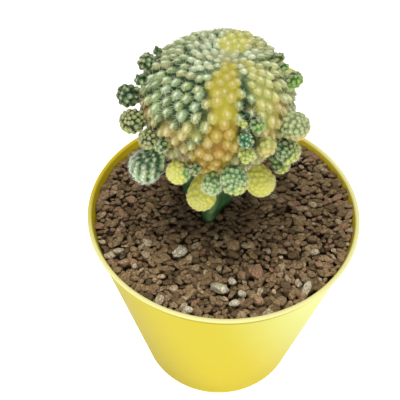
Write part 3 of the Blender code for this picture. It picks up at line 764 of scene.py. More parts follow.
living = {
    "spiralSteps": 600,
    "pitchSpread": (0.9, 1.1),
    "ribPitch": 0.6,  # least pitch on a rib, in its steps
    "domeRound": 0.7,  # lower makes the tops of the tubercles flatter
    "frays": (1.3*mm, 3), "footFray": 0.9, "areoleFray": 1.1,  # of the borders
    "areoleShade": (0.55, 1.15, 1, 0),
    "heights": (0.86, 0.28, 0.8),  # of each tubercle, and what its tone and the dents change
    "dents": (1.8*mm, 2),
    "tufts": (0.45*mm, 2), "tuftHeights": (0.4, 1.4),
    "rootSpread": 1.5,  # of a fan of spines along its areole, in half lengths of it
    "rootDepth": 0.03, "rootSide": 0.06,
    "spineSides": 3, "spineLevels": 2, "spineTip": 0.08,
    "spineLengths": (0.75, 1.2),
    "corky": (0.52, 0.42, 0.2), "corkyShade": (0.75, 0.95, 0, 0.5),  # tubercles of some tones
    "bluish": (0.3, 0.44, 0.32), "bluishFrom": (0.35, 0.45, 0, 0.4), "bluishTo": (0.5, 0.6, 1, 0),
    "mottle": (1.3*mm, 4, 0.6), "fibres": (0.4*mm, 3, 0.7),
    "light": (0.65, 0.7), "climbLight": 0.55, "lightShade": (0.15, 0.75),  # valley to top of a tubercle
    "darkShade": (0.0, 0.4, 0.5, 0),  # tubercles of low tones
    "fibreShade": (0.38, 0.6, 0.4, 0), "feltShade": (0.35, 0.65, 0.25, 0), "felted": (0.6, 0.8),
    "specular": 0.2, "roughness": (0.55, 0.3, 0.1),
    "bump": (0.6, 0.4), "bumpDepth": 0.12*mm,
    "horn": (0.44, 0.4, 0.17), "hornTip": (0.58, 0.55, 0.3), "tipShade": (0, 0.9),
    "whiteSpine": (0.86, 0.88, 0.8),
    "streaks": (0.6*mm, 2), "streakShade": (0.4, 0.7, 0, 0.3), "streak": (0.46, 0.38, 0.24),
    "spineSpecular": 0.4, "spineRoughness": (0.45, 0.2),
}
tiny = 1e-6  # least length that a direction is divided by


def unit(vectors):
    return vectors/np.linalg.norm(vectors, axis=1)[:, None]


def aimAt(azimuth, latitude):
    a, b = math.radians(azimuth), math.radians(latitude)
    return np.array([math.cos(b)*math.cos(a), math.cos(b)*math.sin(a), math.sin(b)])


def degreesFrom(aims, azimuth, latitude):
    return np.degrees(np.arccos(np.clip(aims @ aimAt(azimuth, latitude), -1, 1)))


class Ball:
    def __init__(self, place, turn, radius, crown, belly, stray, pole=None):
        self.place, self.turn = np.array(place), np.array(turn)
        self.radius, self.crown, self.belly = radius, crown, belly
        self.pole = self.turn[:, 2] if pole is None else np.array(pole)  # where its growing point is
        self.sink, self.sinkRadius, self.taper, self.swells = 0.0, 1.0, 0.0, ()
        self.stray = stray  # of the areoles from an even spiral, in pitches

    def halves(self, up):  # half its size on each axis, for points up or down from its middle
        side = np.full(len(up), self.radius)
        return np.stack([side, side, np.where(up < 0, self.belly, self.crown)], 1)

    def skin(self, aims):  # where unit directions in the ball's own axes meet its skin
        below = np.minimum(aims[:, 2], 0)
        spots = aims*self.halves(below)
        spots[:, :2] *= (1 + self.taper*below)[:, None]
        offAxis = np.hypot(spots[:, 0], spots[:, 1])/self.sinkRadius
        spots[:, 2] -= np.where(below < 0, 0, self.sink*np.exp(-offAxis**2))
        for azimuth, latitude, spread, share in self.swells:
            spots *= (1 + share*np.exp(-(degreesFrom(aims, azimuth, latitude)/spread)**2))[:, None]
        return spots @ self.turn.T + self.place

    def outward(self, aims):
        return unit(aims/self.halves(aims[:, 2])) @ self.turn.T

    def fromPole(self, aims):  # turns directions measured from the pole into the ball's axes
        pole = Vector(self.turn.T @ self.pole)
        return aims @ np.array(pole.to_track_quat("Z", "Y").to_matrix()).T

    def strayed(self, aims, pitches, rng):
        aims = aims + rng.normal(0, self.stray, aims.shape)*pitches[:, None]/self.radius
        return self.fromPole(unit(aims))

    def spiral(self, pitchAtPole, pitchAtFlank, ramp):  # golden-angle spiral down from the pole
        polar = np.linspace(0, math.pi, living["spiralSteps"])
        ring = self.radius*np.sin(polar)
        height = np.where(polar < math.pi/2, self.crown, self.belly)*np.cos(polar)
        steps = np.hypot(np.diff(ring), np.diff(height))
        along = np.concatenate([[0], np.cumsum(steps)])
        pitch = pitchAtPole + (pitchAtFlank - pitchAtPole)*np.clip(along/ramp, 0, 1)
        density = 2*math.pi*ring/(math.sqrt(3)/2*pitch**2)
        count = np.concatenate([[0], np.cumsum((density[1:] + density[:-1])/2*steps)])
        number = np.arange(int(count[-1]))
        angle, turn = np.interp(number + 0.5, count, polar), number*goldenAngle
        aims = np.stack([np.sin(angle)*np.cos(turn), np.sin(angle)*np.sin(turn), np.cos(angle)], 1)
        pitches = np.interp(angle, polar, pitch)
        rng = np.random.default_rng(len(aims))
        return self.strayed(aims, pitches, rng), pitches*rng.uniform(*living["pitchSpread"], len(aims))

    def ribs(self, number, step, phase):  # areoles in rows down the ribs, from pole to pole
        rows = int(math.pi*self.radius/step)
        rib, row = np.divmod(np.arange(number*(rows - 1)), rows - 1)
        row += 1
        turn, angle = 2*math.pi*rib/number + phase, math.pi*(row + 0.5*(rib % 2))/rows
        aims = np.stack([np.sin(angle)*np.cos(turn), np.sin(angle)*np.sin(turn), np.cos(angle)], 1)
        pitches = np.maximum(2*math.pi*self.radius*np.sin(angle)/number, living["ribPitch"]*step)
        return self.strayed(aims, pitches, np.random.default_rng(number)), pitches

    def areoles(self, aims, pitch, seed, **marks):
        outward = self.outward(aims)
        across = np.cross(np.broadcast_to(self.pole, outward.shape), outward)
        across /= np.maximum(np.linalg.norm(across, axis=1), tiny)[:, None]
        tone = np.random.default_rng(seed).uniform(0, 1, len(aims))
        return {"spots": self.skin(aims), "outward": outward, "upward": np.cross(outward, across),
                "pitch": pitch, "tone": tone, **marks}


def cubeBall(cuts):  # unit directions spread evenly over a ball, as a mesh
    bm = bmesh.new()
    bmesh.ops.create_cube(bm, size=2)
    bmesh.ops.subdivide_edges(bm, edges=bm.edges[:], cuts=cuts - 1, use_grid_fill=True)
    mesh = bpy.data.meshes.new("cubeBall")
    bm.to_mesh(mesh)
    bm.free()
    setSpots(mesh, unit(np.tan(spotsOf(mesh)*math.pi/4)))
    return mesh


def domeOf(graph, reach):  # height of a tubercle, 0 to 1, for a reach of 1 at its foot
    return graph.maths("MAXIMUM", 1 - reach*reach, 0.0)**living["domeRound"]


def tubercleGrowth():
    g = Growth("tubercleGrowth", Object="seeds", Material="skin", Float="width, length, height, chin, "
               "areoleWidth, areoleLength, areoleLift, wool, seat")
    seeds = g.shapeOf("seeds")
    nearest = g.node("GeometryNodeSampleNearest", {}, {0: seeds, 1: g.spot})

    def ofSeed(value, kind="FLOAT"):
        return g.node("GeometryNodeSampleIndex", {"data_type": kind},
                      {"Geometry": seeds, "Value": value, "Index": nearest})

    middle, outward, upward = [ofSeed(value, "FLOAT_VECTOR") for value in (
        g.spot, g.kept("outward", "FLOAT_VECTOR"), g.kept("upward", "FLOAT_VECTOR"))]
    pitch, tone = ofSeed(g.kept("pitch")), ofSeed(g.kept("tone"))
    away = (g.spot - middle)/pitch
    side = g.maths("DOT_PRODUCT", away, g.maths("CROSS_PRODUCT", upward, outward))
    climb = g.maths("DOT_PRODUCT", away, upward)
    ragged, dents = [g.noise(g.spot, *living[name]) - 0.5 for name in ("frays", "dents")]
    foot = g.hypot(side/g["width"], climb/g["length"])
    dome = domeOf(g, foot*(1 + living["footFray"]*ragged))
    felt = g.hypot(side/g["areoleWidth"], (climb - g["areoleLift"])/g["areoleLength"])
    areole = g.ease(felt + living["areoleFray"]*ragged, *living["areoleShade"])
    height = (dome*weighed(living["heights"], 1, tone, dents) - 1)*g["height"]
    wool = areole*g["wool"]*weighed(living["tuftHeights"], 1, g.noise(g.spot, *living["tufts"]))
    relief = pitch*g.kept("relief")
    body = g.keep(g["Geometry"], dome=dome, areole=areole, tone=tone, climb=climb)
    body = g.shift(body, g.outward*(height*relief + wool) - upward*dome*g["chin"]*relief)
    x, y, z = g.parts(g.spot)
    body = g.place(body, g.join(x, y, g.maths("MAXIMUM", z, g["seat"])))
    g.finish(g.smooth(body), g["skin"])
    return g


def spineGrowth():  # fans of spines on points that carry their own sizes
    g = Growth("spineGrowth", Int="spines, seed", Material="spine", Float="spineThickness, rise, fanTop, "
               "fanFoot, length, height, chin, areoleLength, areoleLift, untidy")
    pitch = g.kept("pitch")
    many = g.node("GeometryNodeDuplicateElements", {"domain": "POINT"},
                  {"Geometry": g["Geometry"], "Amount": g["spines"]})
    number = Wire(g, many.socket.node.outputs["Duplicate Index"])
    pair = g.maths("FLOOR", number/2)
    side = 1 - 2*(number - 2*pair)
    down = pair/g.maths("MAXIMUM", g.maths("FLOOR", g["spines"]/2) - 1, 1.0)
    outward, upward = g.kept("outward", "FLOAT_VECTOR"), g.kept("upward", "FLOAT_VECTOR")
    across = g.maths("CROSS_PRODUCT", upward, outward)
    fan = g["fanTop"] + (g["fanFoot"] - g["fanTop"])*down
    stray = g.join(*g.draws(1, g["seed"] + 1, 3))
    aim = g.maths("NORMALIZE", across*side + upward*fan + outward*g["rise"] + stray*g["untidy"])
    along = (0.5 - down)*g["areoleLength"]*living["rootSpread"] + g["areoleLift"]
    depth = (domeOf(g, along/g["length"]) - 1)*g["height"]*g.kept("relief") - living["rootDepth"]
    root = (outward*depth + upward*(along - g["chin"]) + across*side*living["rootSide"])*pitch
    # Both are kept before the points move, so that they read the same place
    points = g.shift(g.keep(many, "FLOAT_VECTOR", aim=aim, root=root), g.kept("root", "FLOAT_VECTOR"))
    cone = g.node("GeometryNodeMeshCone", {"fill_type": "NGON"},
                  {"Vertices": living["spineSides"], "Side Segments": living["spineLevels"],
                   "Radius Top": living["spineTip"], "Radius Bottom": 1.0, "Depth": 1.0})
    cone = g.keep(cone, along=g.parts(g.spot)[2])
    turn = g.node("FunctionNodeAxesToRotation", {"primary_axis": "Z", "secondary_axis": "X"},
                  {0: g.kept("aim", "FLOAT_VECTOR"), 1: outward})
    length = g.draw(*living["spineLengths"], g["seed"] + 4)*g.kept("spineLength")
    stretch = g.join(g["spineThickness"]/2, g["spineThickness"]/2, length)
    spines = g.node("GeometryNodeInstanceOnPoints", {},
                    {"Points": points, "Instance": cone, "Rotation": turn, "Scale": stretch})
    g.finish(spines, g["spine"])
    return g


# Colours of the living skin, each as its tubercles, the valleys between them, darkened there as painted
# shade, and its areoles
paints = {
    "green": ((0.32, 0.41, 0.14), (0.026, 0.066, 0.028), (0.62, 0.74, 0.52)),
    "pale": ((0.68, 0.7, 0.27), (0.28, 0.33, 0.11), (0.8, 0.82, 0.52)),
    "crown": ((0.65, 0.74, 0.45), (0.13, 0.19, 0.105), (0.82, 0.88, 0.68)),
    "olive": ((0.34, 0.32, 0.085), (0.06, 0.062, 0.014), (0.56, 0.52, 0.27)),
    "straw": ((0.47, 0.42, 0.12), (0.13, 0.12, 0.03), (0.62, 0.56, 0.32)),
    "gold": ((0.48, 0.425, 0.065), (0.37, 0.32, 0.032), (0.64, 0.5, 0.28)),
    "lemon": ((0.66, 0.65, 0.13), (0.54, 0.53, 0.08), (0.74, 0.72, 0.3)),
    "sage": ((0.52, 0.5, 0.14), (0.32, 0.33, 0.075), (0.7, 0.64, 0.38)),
    "ochre": ((0.45, 0.31, 0.042), (0.22, 0.13, 0.012), (0.56, 0.43, 0.2)),
    "orange": ((0.45, 0.24, 0.035), (0.23, 0.1, 0.012), (0.56, 0.37, 0.16)),
    "rust": ((0.38, 0.16, 0.04), (0.15, 0.055, 0.015), (0.44, 0.25, 0.12)),
    "umber": ((0.15, 0.1, 0.045), (0.035, 0.028, 0.01), (0.34, 0.27, 0.16)),
    "tan": ((0.58, 0.48, 0.15), (0.36, 0.29, 0.075), (0.68, 0.56, 0.32)),
    "deep": ((0.12, 0.19, 0.06), (0.014, 0.036, 0.016), (0.52, 0.6, 0.36)),
    "leaf": ((0.2, 0.3, 0.09), (0.03, 0.075, 0.025), (0.54, 0.6, 0.35)),
    "emerald": ((0.06, 0.24, 0.09), (0.012, 0.08, 0.032), (0.56, 0.68, 0.44)),
    "fresh": ((0.21, 0.42, 0.05), (0.06, 0.19, 0.015), (0.5, 0.64, 0.28)),
    "mint": ((0.39, 0.57, 0.18), (0.11, 0.27, 0.06), (0.74, 0.84, 0.48)),
    "jade": ((0.28, 0.44, 0.17), (0.06, 0.17, 0.055), (0.68, 0.78, 0.46)),
    "frost": ((0.44, 0.56, 0.28), (0.035, 0.1, 0.035), (0.76, 0.85, 0.66)),
    "moss": ((0.33, 0.37, 0.11), (0.025, 0.038, 0.008), (0.56, 0.58, 0.34)),
    "lime": ((0.54, 0.6, 0.11), (0.18, 0.25, 0.025), (0.72, 0.76, 0.36)),
    "dusty": ((0.4, 0.46, 0.19), (0.14, 0.19, 0.07), (0.64, 0.68, 0.43)),
    "cream": ((0.47, 0.48, 0.28), (0.33, 0.34, 0.17), (0.6, 0.6, 0.42)),
}


def painted(tints, share, name):  # tints of each point, with another paint laid over a share
    return tints + np.clip(share, 0, 1)[:, None, None]*(np.array(paints[name]) - tints)


def keepTints(mesh, tints):
    for label, colours in zip(("skinTint", "valleyTint", "areoleTint"), np.moveaxis(tints, 1, 0)):
        mark = mesh.attributes.new(label, "FLOAT_COLOR", "POINT")
        full = np.column_stack([colours, np.ones(len(colours))])
        mark.data.foreach_set("color", full.astype(np.float32).ravel())


def eased(values, low, high, start=0, end=1):  # the same step as a graph's ease
    share = np.clip((values - low)/(high - low), 0, 1)
    return start + (end - start)*share*share*(3 - 2*share)


def waver(spots, size):  # smooth chance from -1 to 1, for borders that aren't straight
    return np.array([noise.noise(Vector(spot)/size) for spot in spots])


def skinFinish():
    finish = Finish("cactusSkin", living["specular"])
    dome, areole, tone = [finish.read(name) for name in ("dome", "areole", "tone")]
    mottle, fibres = [finish.noise(finish.spot, *living[name]) for name in ("mottle", "fibres")]
    skin, valleyShade, felt = [finish.read(name, "Color") for name in ("skinTint", "valleyTint", "areoleTint")]
    skin = finish.mix(finish.ease(tone, *living["corkyShade"]), skin, living["corky"])
    bluish = finish.ease(tone, *living["bluishFrom"])*finish.ease(tone, *living["bluishTo"])
    skin = finish.mix(bluish*finish.read("relief")**2, skin, living["bluish"])
    light = dome*weighed(living["light"], 1, mottle) + living["climbLight"]*finish.read("climb")
    # The valleys take painted shade, and the tops of the tubercles painted light
    body = finish.mix(finish.ease(light, *living["lightShade"]), valleyShade, skin)
    body = finish.mix(finish.ease(tone, *living["darkShade"]), body, valleyShade)
    body = finish.mix(finish.ease(fibres, *living["fibreShade"]), body, valleyShade)
    felt = finish.mix(finish.ease(fibres, *living["feltShade"]), felt, body)
    felted = areole*finish.read("felt")*weighed(living["felted"], 1, mottle)
    finish.colour(finish.mix(felted, body, felt))
    finish.roughness(weighed(living["roughness"], 1, areole, mottle))
    finish.bump(weighed(living["bump"], mottle, fibres), living["bumpDepth"])
    return finish.material


def spineFinish():
    finish = Finish("paleSpine", living["spineSpecular"])
    streaks = finish.noise(finish.spot, *living["streaks"])
    horn = finish.ease(finish.read("along"), *living["tipShade"])
    horn = finish.mix(horn, living["horn"], living["hornTip"])
    horn = finish.mix(finish.read("white"), horn, living["whiteSpine"])
    finish.colour(finish.mix(finish.ease(streaks, *living["streakShade"]), horn, living["streak"]))
    finish.roughness(weighed(living["spineRoughness"], 1, streaks))
    return finish.material


tubercles = tubercleGrowth()
spineTree = spineGrowth()
cactusSkin = skinFinish()
paleSpine = spineFinish()


def skinPiece(name, ball, areoles, sizes, paint):
    mesh = cubeBall(sizes["cuts"])
    spots = ball.skin(spotsOf(mesh))
    setSpots(mesh, spots)
    paint(mesh, ball, spots)
    seeds = newPiece(name + "Seeds", pointCloud(name + "Seeds", **areoles))
    piece = grown(name, mesh, tubercles, {**sizes, "seeds": seeds, "skin": cactusSkin})
    dropObject(seeds)
    return piece


def spinePiece(name, areoles, sizes):
    return grown(name, pointCloud(name + "Roots", **areoles), spineTree, {**sizes, "spine": paleSpine})


# Mother head: a spheroid with a sunken crown, which leans a little to the front and the right.
# Azimuth 0 is to the right and -90 to the front; azimuths and latitudes are in degrees.

head = {
    "place": (-4*mm, 4*mm, 142*mm),
    "lean": 4,  # degrees
    "radius": 26.2*mm, "crown": 19.8*mm, "belly": 26*mm,
    "sink": 2*mm, "sinkRadius": 7*mm,
    "seat": 119.5*mm,
    # Where it is fuller or flatter, as (azimuth, latitude, spread, share of the radius)
    "swells": ((58, 38, 22, 0.045), (128, 40, 26, -0.035)),
    "pitchPole": 2.6*mm, "pitchFlank": 4.4*mm, "pitchRamp": 25*mm, "stray": 0.13,
    "cuts": 126,
    "width": 0.47, "length": 0.49,  # half of a tubercle's, in pitches
    "height": 0.4,
    "chin": 0.22,  # how far its top hangs down
    "areoleWidth": 0.14, "areoleLength": 0.2, "areoleLift": 0.16,
    "wool": 0.14*mm,
    "spines": 10, "spineThickness": 0.18*mm,
    "spineLength": 2.5*mm, "reliefLength": (0.4, 0.6),  # the smoother skin has shorter spines
    "whiteShade": (5, 35, 0, 0.35),  # how white they are, by the latitude
    "rise": 0.45, "fanTop": 0.9, "fanFoot": -1.6, "untidy": 0.35,
    "bareFoot": 4*mm, "bareCrown": 0.9,  # no spines this near to the seat and in the woolly patch
    "toneSeeds": (3, 4), "seed": 5,
    "woolPatch": (13*mm, 5*mm),  # at the crown, across and deep
    "woolShade": (0.6, 1.3, 0.8, 0),
    # How far the crown's and the low paints reach, by the latitude
    "crownShade": (60, 70), "oliveShade": (-8, 18, 0.8, 0), "lowShade": (8, 32, 0.8, 0),
    "paintBlur": 3.0, "reliefBlur": 6.0,  # degrees, at the borders of the sectors
    "narrowest": 0.15,  # circle of latitude that the blur is reckoned on, as a share of the widest
    "borderWaver": 3*mm,
    "spotWaver": (0.4, 2.5*mm), "spotShade": (0.5, 1.2, 1, 0),
    # Yellow sectors as the (azimuth, latitude) down each side, paint, low paint and relief
    "sectors": (
        (((-31, 77), (-45, 65), (-55, 50), (-56, 39), (-53, 20), (-48, 7)),
         ((-8, 70), (-16, 56), (-24, 43), (-29, 31), (-34, 20), (-40, 2)), "sage", "tan", 0.4),
        (((27, 84), (32, 70), (45, 60), (58, 48), (62, 30)),
         ((104, 84), (96, 70), (86, 60), (80, 40), (80, 30)), "sage", "straw", 0.5),
        (((-100, 84), (-108, 70), (-109, 62), (-102, 48), (-98, 36), (-96, 28), (-97, 18), (-102, 5),
          (-108, -10)),
         ((-40, 80), (-58, 67), (-64, 56), (-69, 45), (-74, 34), (-73, 22), (-74, 7), (-79, -11)),
         "gold", "ochre", 0.3),
    ),
    # Spots of other colours as (azimuth, latitude, radius, paint, share)
    "spots": (
        (42, 55, 12, "sage", 0.7), (-6, 42, 24, "pale", 0.8), (-30, 40, 14, "sage", 0.7),
        (-31, 26, 13, "tan", 0.8), (-122, 12, 12, "straw", 0.6), (-116, -4, 12, "ochre", 0.6),
        (-96, -10, 18, "ochre", 0.6), (-140, -2, 16, "olive", 0.6), (-108, -2, 10, "olive", 0.6),
        (-167, -3, 8, "rust", 0.9), (-150, 13, 9, "straw", 0.6), (-130, 14, 8, "straw", 0.4),
        (-126, 5, 5, "rust", 0.8), (-112, -10, 7, "umber", 0.7), (-140, -24, 10, "umber", 0.7),
        (-93, 9, 2.2, "umber", 0.9), (-87, 6, 8, "orange", 0.6), (-97, -2, 9, "ochre", 0.8),
        (-108, 20, 8, "sage", 0.7), (-88, 20, 12, "ochre", 0.7), (-80, 27, 8, "ochre", 0.6),
        (-124, 6, 10, "tan", 0.7), (-113, 13, 7, "tan", 0.6), (-156, 4, 6, "rust", 0.7),
        (-147, 7, 7, "tan", 0.6), (-103, 48, 4, "straw", 0.6), (-100, 40, 4, "straw", 0.6),
        (-99, 32, 4, "straw", 0.6), (-66, 46, 6, "deep", 0.9), (-65, 36, 8, "deep", 1.0),
        (-68, 24, 7, "deep", 0.7), (-58, 42, 4, "straw", 0.6), (-30, 33, 7, "tan", 0.8),
        (-34, 22, 8, "tan", 0.7), (-14, 46, 8, "olive", 0.5), (-9, 36, 6, "straw", 0.5),
        (-50, 15, 9, "tan", 0.5), (-138, 41, 2.6, "rust", 0.5), (-152, 39, 2.6, "rust", 0.4),
        (-108, 26, 7, "straw", 0.5), (70, 74, 12, "lemon", 0.6),
    ),
}


def headBall():
    lean = math.radians(head["lean"])
    turn = Matrix.Rotation(lean, 3, "X") @ Matrix.Rotation(lean, 3, "Y")
    ball = Ball(head["place"], turn, head["radius"], head["crown"], head["belly"], head["stray"])
    ball.sink, ball.sinkRadius, ball.swells = head["sink"], head["sinkRadius"], head["swells"]
    return ball


def anglesOn(ball, spots):  # azimuth and latitude of spots on a ball, in degrees
    own = (spots - ball.place) @ ball.turn
    aims = unit(own/ball.halves(own[:, 2]))
    return np.degrees(np.arctan2(aims[:, 1], aims[:, 0])), np.degrees(np.arcsin(aims[:, 2])), aims, own


def borderAt(latitude, border):
    azimuths, latitudes = zip(*border[::-1])
    return np.interp(latitude, latitudes, azimuths)


def sectorsAt(azimuth, latitude, spots, blur):  # how far each sector covers the spots, 0 to 1
    blur = blur/np.maximum(np.cos(np.radians(latitude)), head["narrowest"])
    azimuth = azimuth + blur*waver(spots, head["borderWaver"])
    for left, right, *look in head["sectors"]:
        inside = eased(azimuth - borderAt(latitude, left), -blur, blur)
        yield inside*eased(borderAt(latitude, right) - azimuth, -blur, blur), look


def reliefOf(azimuth, latitude, spots):  # the yellow skin is smoother
    relief = np.ones(len(spots))
    for cover, (_, _, low) in sectorsAt(azimuth, latitude, spots, head["reliefBlur"]):
        relief += (low - relief)*cover
    return relief


def patchReach(own):  # from the middle of the woolly patch; 1 is at its border
    across, deep = head["woolPatch"]
    return np.where(own[:, 2] > 0, np.hypot(own[:, 0]/(across/2), own[:, 1]/(deep/2)), np.inf)


def paintHead(mesh, ball, spots):
    azimuth, latitude, aims, own = anglesOn(ball, spots)
    tints = np.broadcast_to(np.array(paints["green"]), (len(spots), 3, 3))
    tints = painted(tints, eased(latitude, *head["crownShade"]), "crown")
    tints = painted(tints, eased(latitude, *head["oliveShade"]), "olive")
    for cover, (paint, lowPaint, _) in sectorsAt(azimuth, latitude, spots, head["paintBlur"]):
        tints = painted(tints, cover, paint)
        tints = painted(tints, cover*eased(latitude, *head["lowShade"]), lowPaint)
    depth, size = head["spotWaver"]
    wavers = depth*waver(spots, size)
    for spotAzimuth, spotLatitude, radius, name, share in head["spots"]:
        angle = degreesFrom(aims, spotAzimuth, spotLatitude)
        tints = painted(tints, share*eased(angle/radius + wavers, *head["spotShade"]), name)
    tints = painted(tints, eased(patchReach(own), *head["woolShade"]), "cream")
    keepTints(mesh, tints)
    keepOn(mesh, "felt", np.ones(len(spots)))
    keepOn(mesh, "relief", reliefOf(azimuth, latitude, spots))


def makeHead():
    ball = headBall()
    skinSeed, spineSeed = head["toneSeeds"]
    aims, pitch = ball.spiral(head["pitchPole"], head["pitchFlank"], head["pitchRamp"])
    skin = skinPiece("motherHead", ball, ball.areoles(aims, pitch, skinSeed), head, paintHead)
    spots = ball.skin(aims)
    azimuth, latitude, _, own = anglesOn(ball, spots)
    relief = reliefOf(azimuth, latitude, spots)
    length = head["spineLength"]*np.sqrt(pitch/head["pitchFlank"])
    length *= weighed(head["reliefLength"], 1, relief)
    white = relief*eased(latitude, *head["whiteShade"])
    spined = (spots[:, 2] >= head["seat"] + head["bareFoot"]) & (patchReach(own) >= head["bareCrown"])
    areoles = ball.areoles(aims[spined], pitch[spined], spineSeed, spineLength=length[spined],
                           white=white[spined], relief=relief[spined])
    return skin, spinePiece("motherSpines", areoles, head)


motherHead, motherSpines = makeHead()
headFaces, spineFaces = [len(piece.data.polygons) for piece in (motherHead, motherSpines)]
print("head grown:", headFaces, "faces with", spineFaces, "on its spines")


# Offsets: small tubercled balls on the head's flank, each drawn out towards the skin it grows from

offsets = {
    # Each is (azimuth, latitude, radius in mm, centre's height over the head in radii, look)
    "places": (
        (178, 29, 2.8, 0.65, "darkTop"), (-171, 21, 2.2, 0.65, "dark"), (-173, 0, 3.9, 0.95, "dark"),
        (-156, -6, 4.2, 0.9, "mossy"), (-140, -9, 3.4, 0.6, "mossy"), (-128, -7, 2.1, 0.65, "leafy"),
        (-147, -40, 5.9, 1.45, "ribbed"), (-114, -25, 4.1, 0.7, "yellowGreen"),
        (-102, -16, 2.0, 0.75, "leafy"), (-96, -50, 5.2, 1.6, "golden"), (-89, -30, 3.3, 1.15, "minty"),
        (-75, -17, 4.7, 0.9, "mintLime"), (-46, -39, 5.2, 1.2, "yellow"), (-60, 28, 2.3, 0.65, "fresh"),
        (-70, 18, 2.4, 0.75, "emerald"), (-69, 4, 2.7, 0.65, "lime"), (-55, 7, 3.1, 0.6, "tan"),
        (-30, 11, 4.7, 0.7, "greyTan"), (-35, -9, 4.3, 0.85, "tealLime"),
        (-27, -32, 3.3, 1.7, "greenLime"), (-2, 32, 2.8, 0.7, "fresh"), (17, 45, 1.6, 0.7, "leafy"),
        (6, 42, 1.5, 0.7, "fresh"), (165, 35, 1.7, 0.6, "dark"), (2, -24, 4.3, 0.8, "leafy"),
        (33, -6, 4.1, 0.75, "yellow"), (38, -34, 4.6, 0.9, "mintLime"), (66, -17, 3.7, 0.8, "leafy"),
        (92, -32, 4.7, 0.9, "minty"), (98, -3, 2.8, 0.65, "dark"), (124, -19, 4.1, 0.8, "mossy"),
        (153, 4, 2.8, 0.7, "leafy"), (155, -27, 4.4, 0.85, "darkTop"), (-71, 31, 1.4, 0.7, "lime"),
    ),
    "cuts": 26,
    "neckTaper": 0.3,
    "reach": 1.7*mm,  # what the neck adds to reach the skin between tubercles
    "stray": 0.14, "ribStray": 0.07,
    "upwards": 1.1,  # how far its growing point turns up from straight out
    "ribs": (11, 1.6*mm, 0.3),  # number, step of the areoles down a rib and turn, for ribbed ones
    "polePitch": 0.6,  # share of the pitch, at the growing point
    "width": 0.5, "length": 0.54, "height": 0.32, "chin": 0.08,
    "areoleWidth": 0.16, "areoleLength": 0.2, "areoleLift": 0.04,
    "wool": 0.07*mm,
    "seat": 0.0,  # none of them is cut flat below
    "spines": 8, "spineThickness": 0.12*mm,
    "spinesFrom": -0.35,  # how far down they grow, from -1 to 1
    "rise": 0.35, "fanTop": 1.3, "fanFoot": -1.3, "untidy": 0.5, "seed": 9,
    "borderWaver": (0.35, 1.8*mm), "borderShade": (-0.3, 0.3),
}

# Looks of the offsets: the paint towards "aim" and the other one, how much of it the first covers
# (-1 to 1), pitch in mm, strength of the areoles, length of the spines in mm, how white they are, relief
offsetLooks = {
    "dark": ("deep", "leaf", (-0.2, 0.2, 1), 0.3, 2.7, 0.9, 0.9, 0.3, 1.0),
    "darkTop": ("deep", "leaf", (-0.5, 0.3, 1), 0.1, 2.3, 0.9, 0.9, 0.3, 1.0),
    "mossy": ("moss", "lime", (0.3, 0, 1), 0.5, 1.9, 0.8, 0.8, 0.1, 1.0),
    "leafy": ("leaf", "lime", (0, 0, 1), 0.5, 1.9, 0.9, 0.9, 0.4, 1.0),
    "ribbed": ("frost", "leaf", (-1, -0.5, 0.4), 0.6, 3.7, 1.0, 2.0, 1.0, 1.0),
    "yellow": ("lemon", "lemon", (0, 0, 1), 0.0, 1.9, 0.4, 0.6, 0.4, 0.5),
    "yellowGreen": ("mint", "lemon", (1, 0.1, 0.1), -0.5, 1.9, 0.5, 0.7, 0.4, 0.6),
    "golden": ("lemon", "gold", (0.3, -0.3, -0.5), 1.1, 1.8, 0.3, 0.6, 0.4, 0.5),
    "minty": ("mint", "lime", (0.3, -0.3, 1), 0.6, 2.0, 0.9, 1.3, 0.8, 0.7),
    "mintLime": ("jade", "lime", (-0.5, 0.2, 1), 0.1, 2.2, 0.8, 1.0, 0.4, 0.9),
    "fresh": ("leaf", "fresh", (-0.6, 0.3, 1), -0.3, 1.9, 0.5, 0.8, 0.3, 1.0),
    "emerald": ("emerald", "leaf", (0, -0.4, 0.3), 0.3, 1.9, 1.0, 0.6, 0.3, 1.0),
    "lime": ("lime", "sage", (-0.3, 0, 1), 0.4, 1.9, 0.6, 0.7, 0.4, 0.8),
    "tan": ("sage", "tan", (-0.5, 0, 1), -0.2, 2.6, 0.5, 0.7, 0.3, 0.5),
    "greyTan": ("dusty", "tan", (-0.5, 0, 1), 0.2, 2.1, 0.9, 0.9, 0.3, 0.7),
    "tealLime": ("leaf", "lime", (-0.9, 0, 0.6), -0.1, 2.0, 0.8, 0.9, 0.4, 1.0),
    "greenLime": ("leaf", "lime", (-1, 0, 0.4), 0.0, 2.0, 0.8, 0.8, 0.5, 1.0),
}


def offsetBall(mother, azimuth, latitude, radius, lift, isRibbed):
    aim = aimAt(azimuth, latitude)[None]
    outward = Vector(mother.outward(aim)[0])
    across = outward.orthogonal().normalized()
    turn = Matrix((across, outward.cross(across), outward)).transposed()
    place = mother.skin(aim)[0] + np.array(outward)*lift*radius
    stretch = max(1, lift + offsets["reach"]/radius)
    pole = Vector((0, 0, 1)) if isRibbed else (outward + Vector((0, 0, offsets["upwards"]))).normalized()
    stray = offsets["ribStray" if isRibbed else "stray"]
    ball = Ball(place, turn, radius, radius, radius*stretch, stray, pole)
    ball.taper = offsets["neckTaper"]*(stretch - 1)
    return ball


def paintOffset(mesh, ball, spots, look):
    first, second, aim, cover, _, felt, _, _, relief = offsetLooks[look]
    depth, size = offsets["borderWaver"]
    side = (spots - ball.place)/ball.radius @ Vector(aim).normalized() + depth*waver(spots, size)
    tints = np.broadcast_to(np.array(paints[second]), (len(spots), 3, 3))
    keepTints(mesh, painted(tints, eased(side + cover, *offsets["borderShade"]), first))
    keepOn(mesh, "felt", np.full(len(spots), felt))
    keepOn(mesh, "relief", np.full(len(spots), relief))


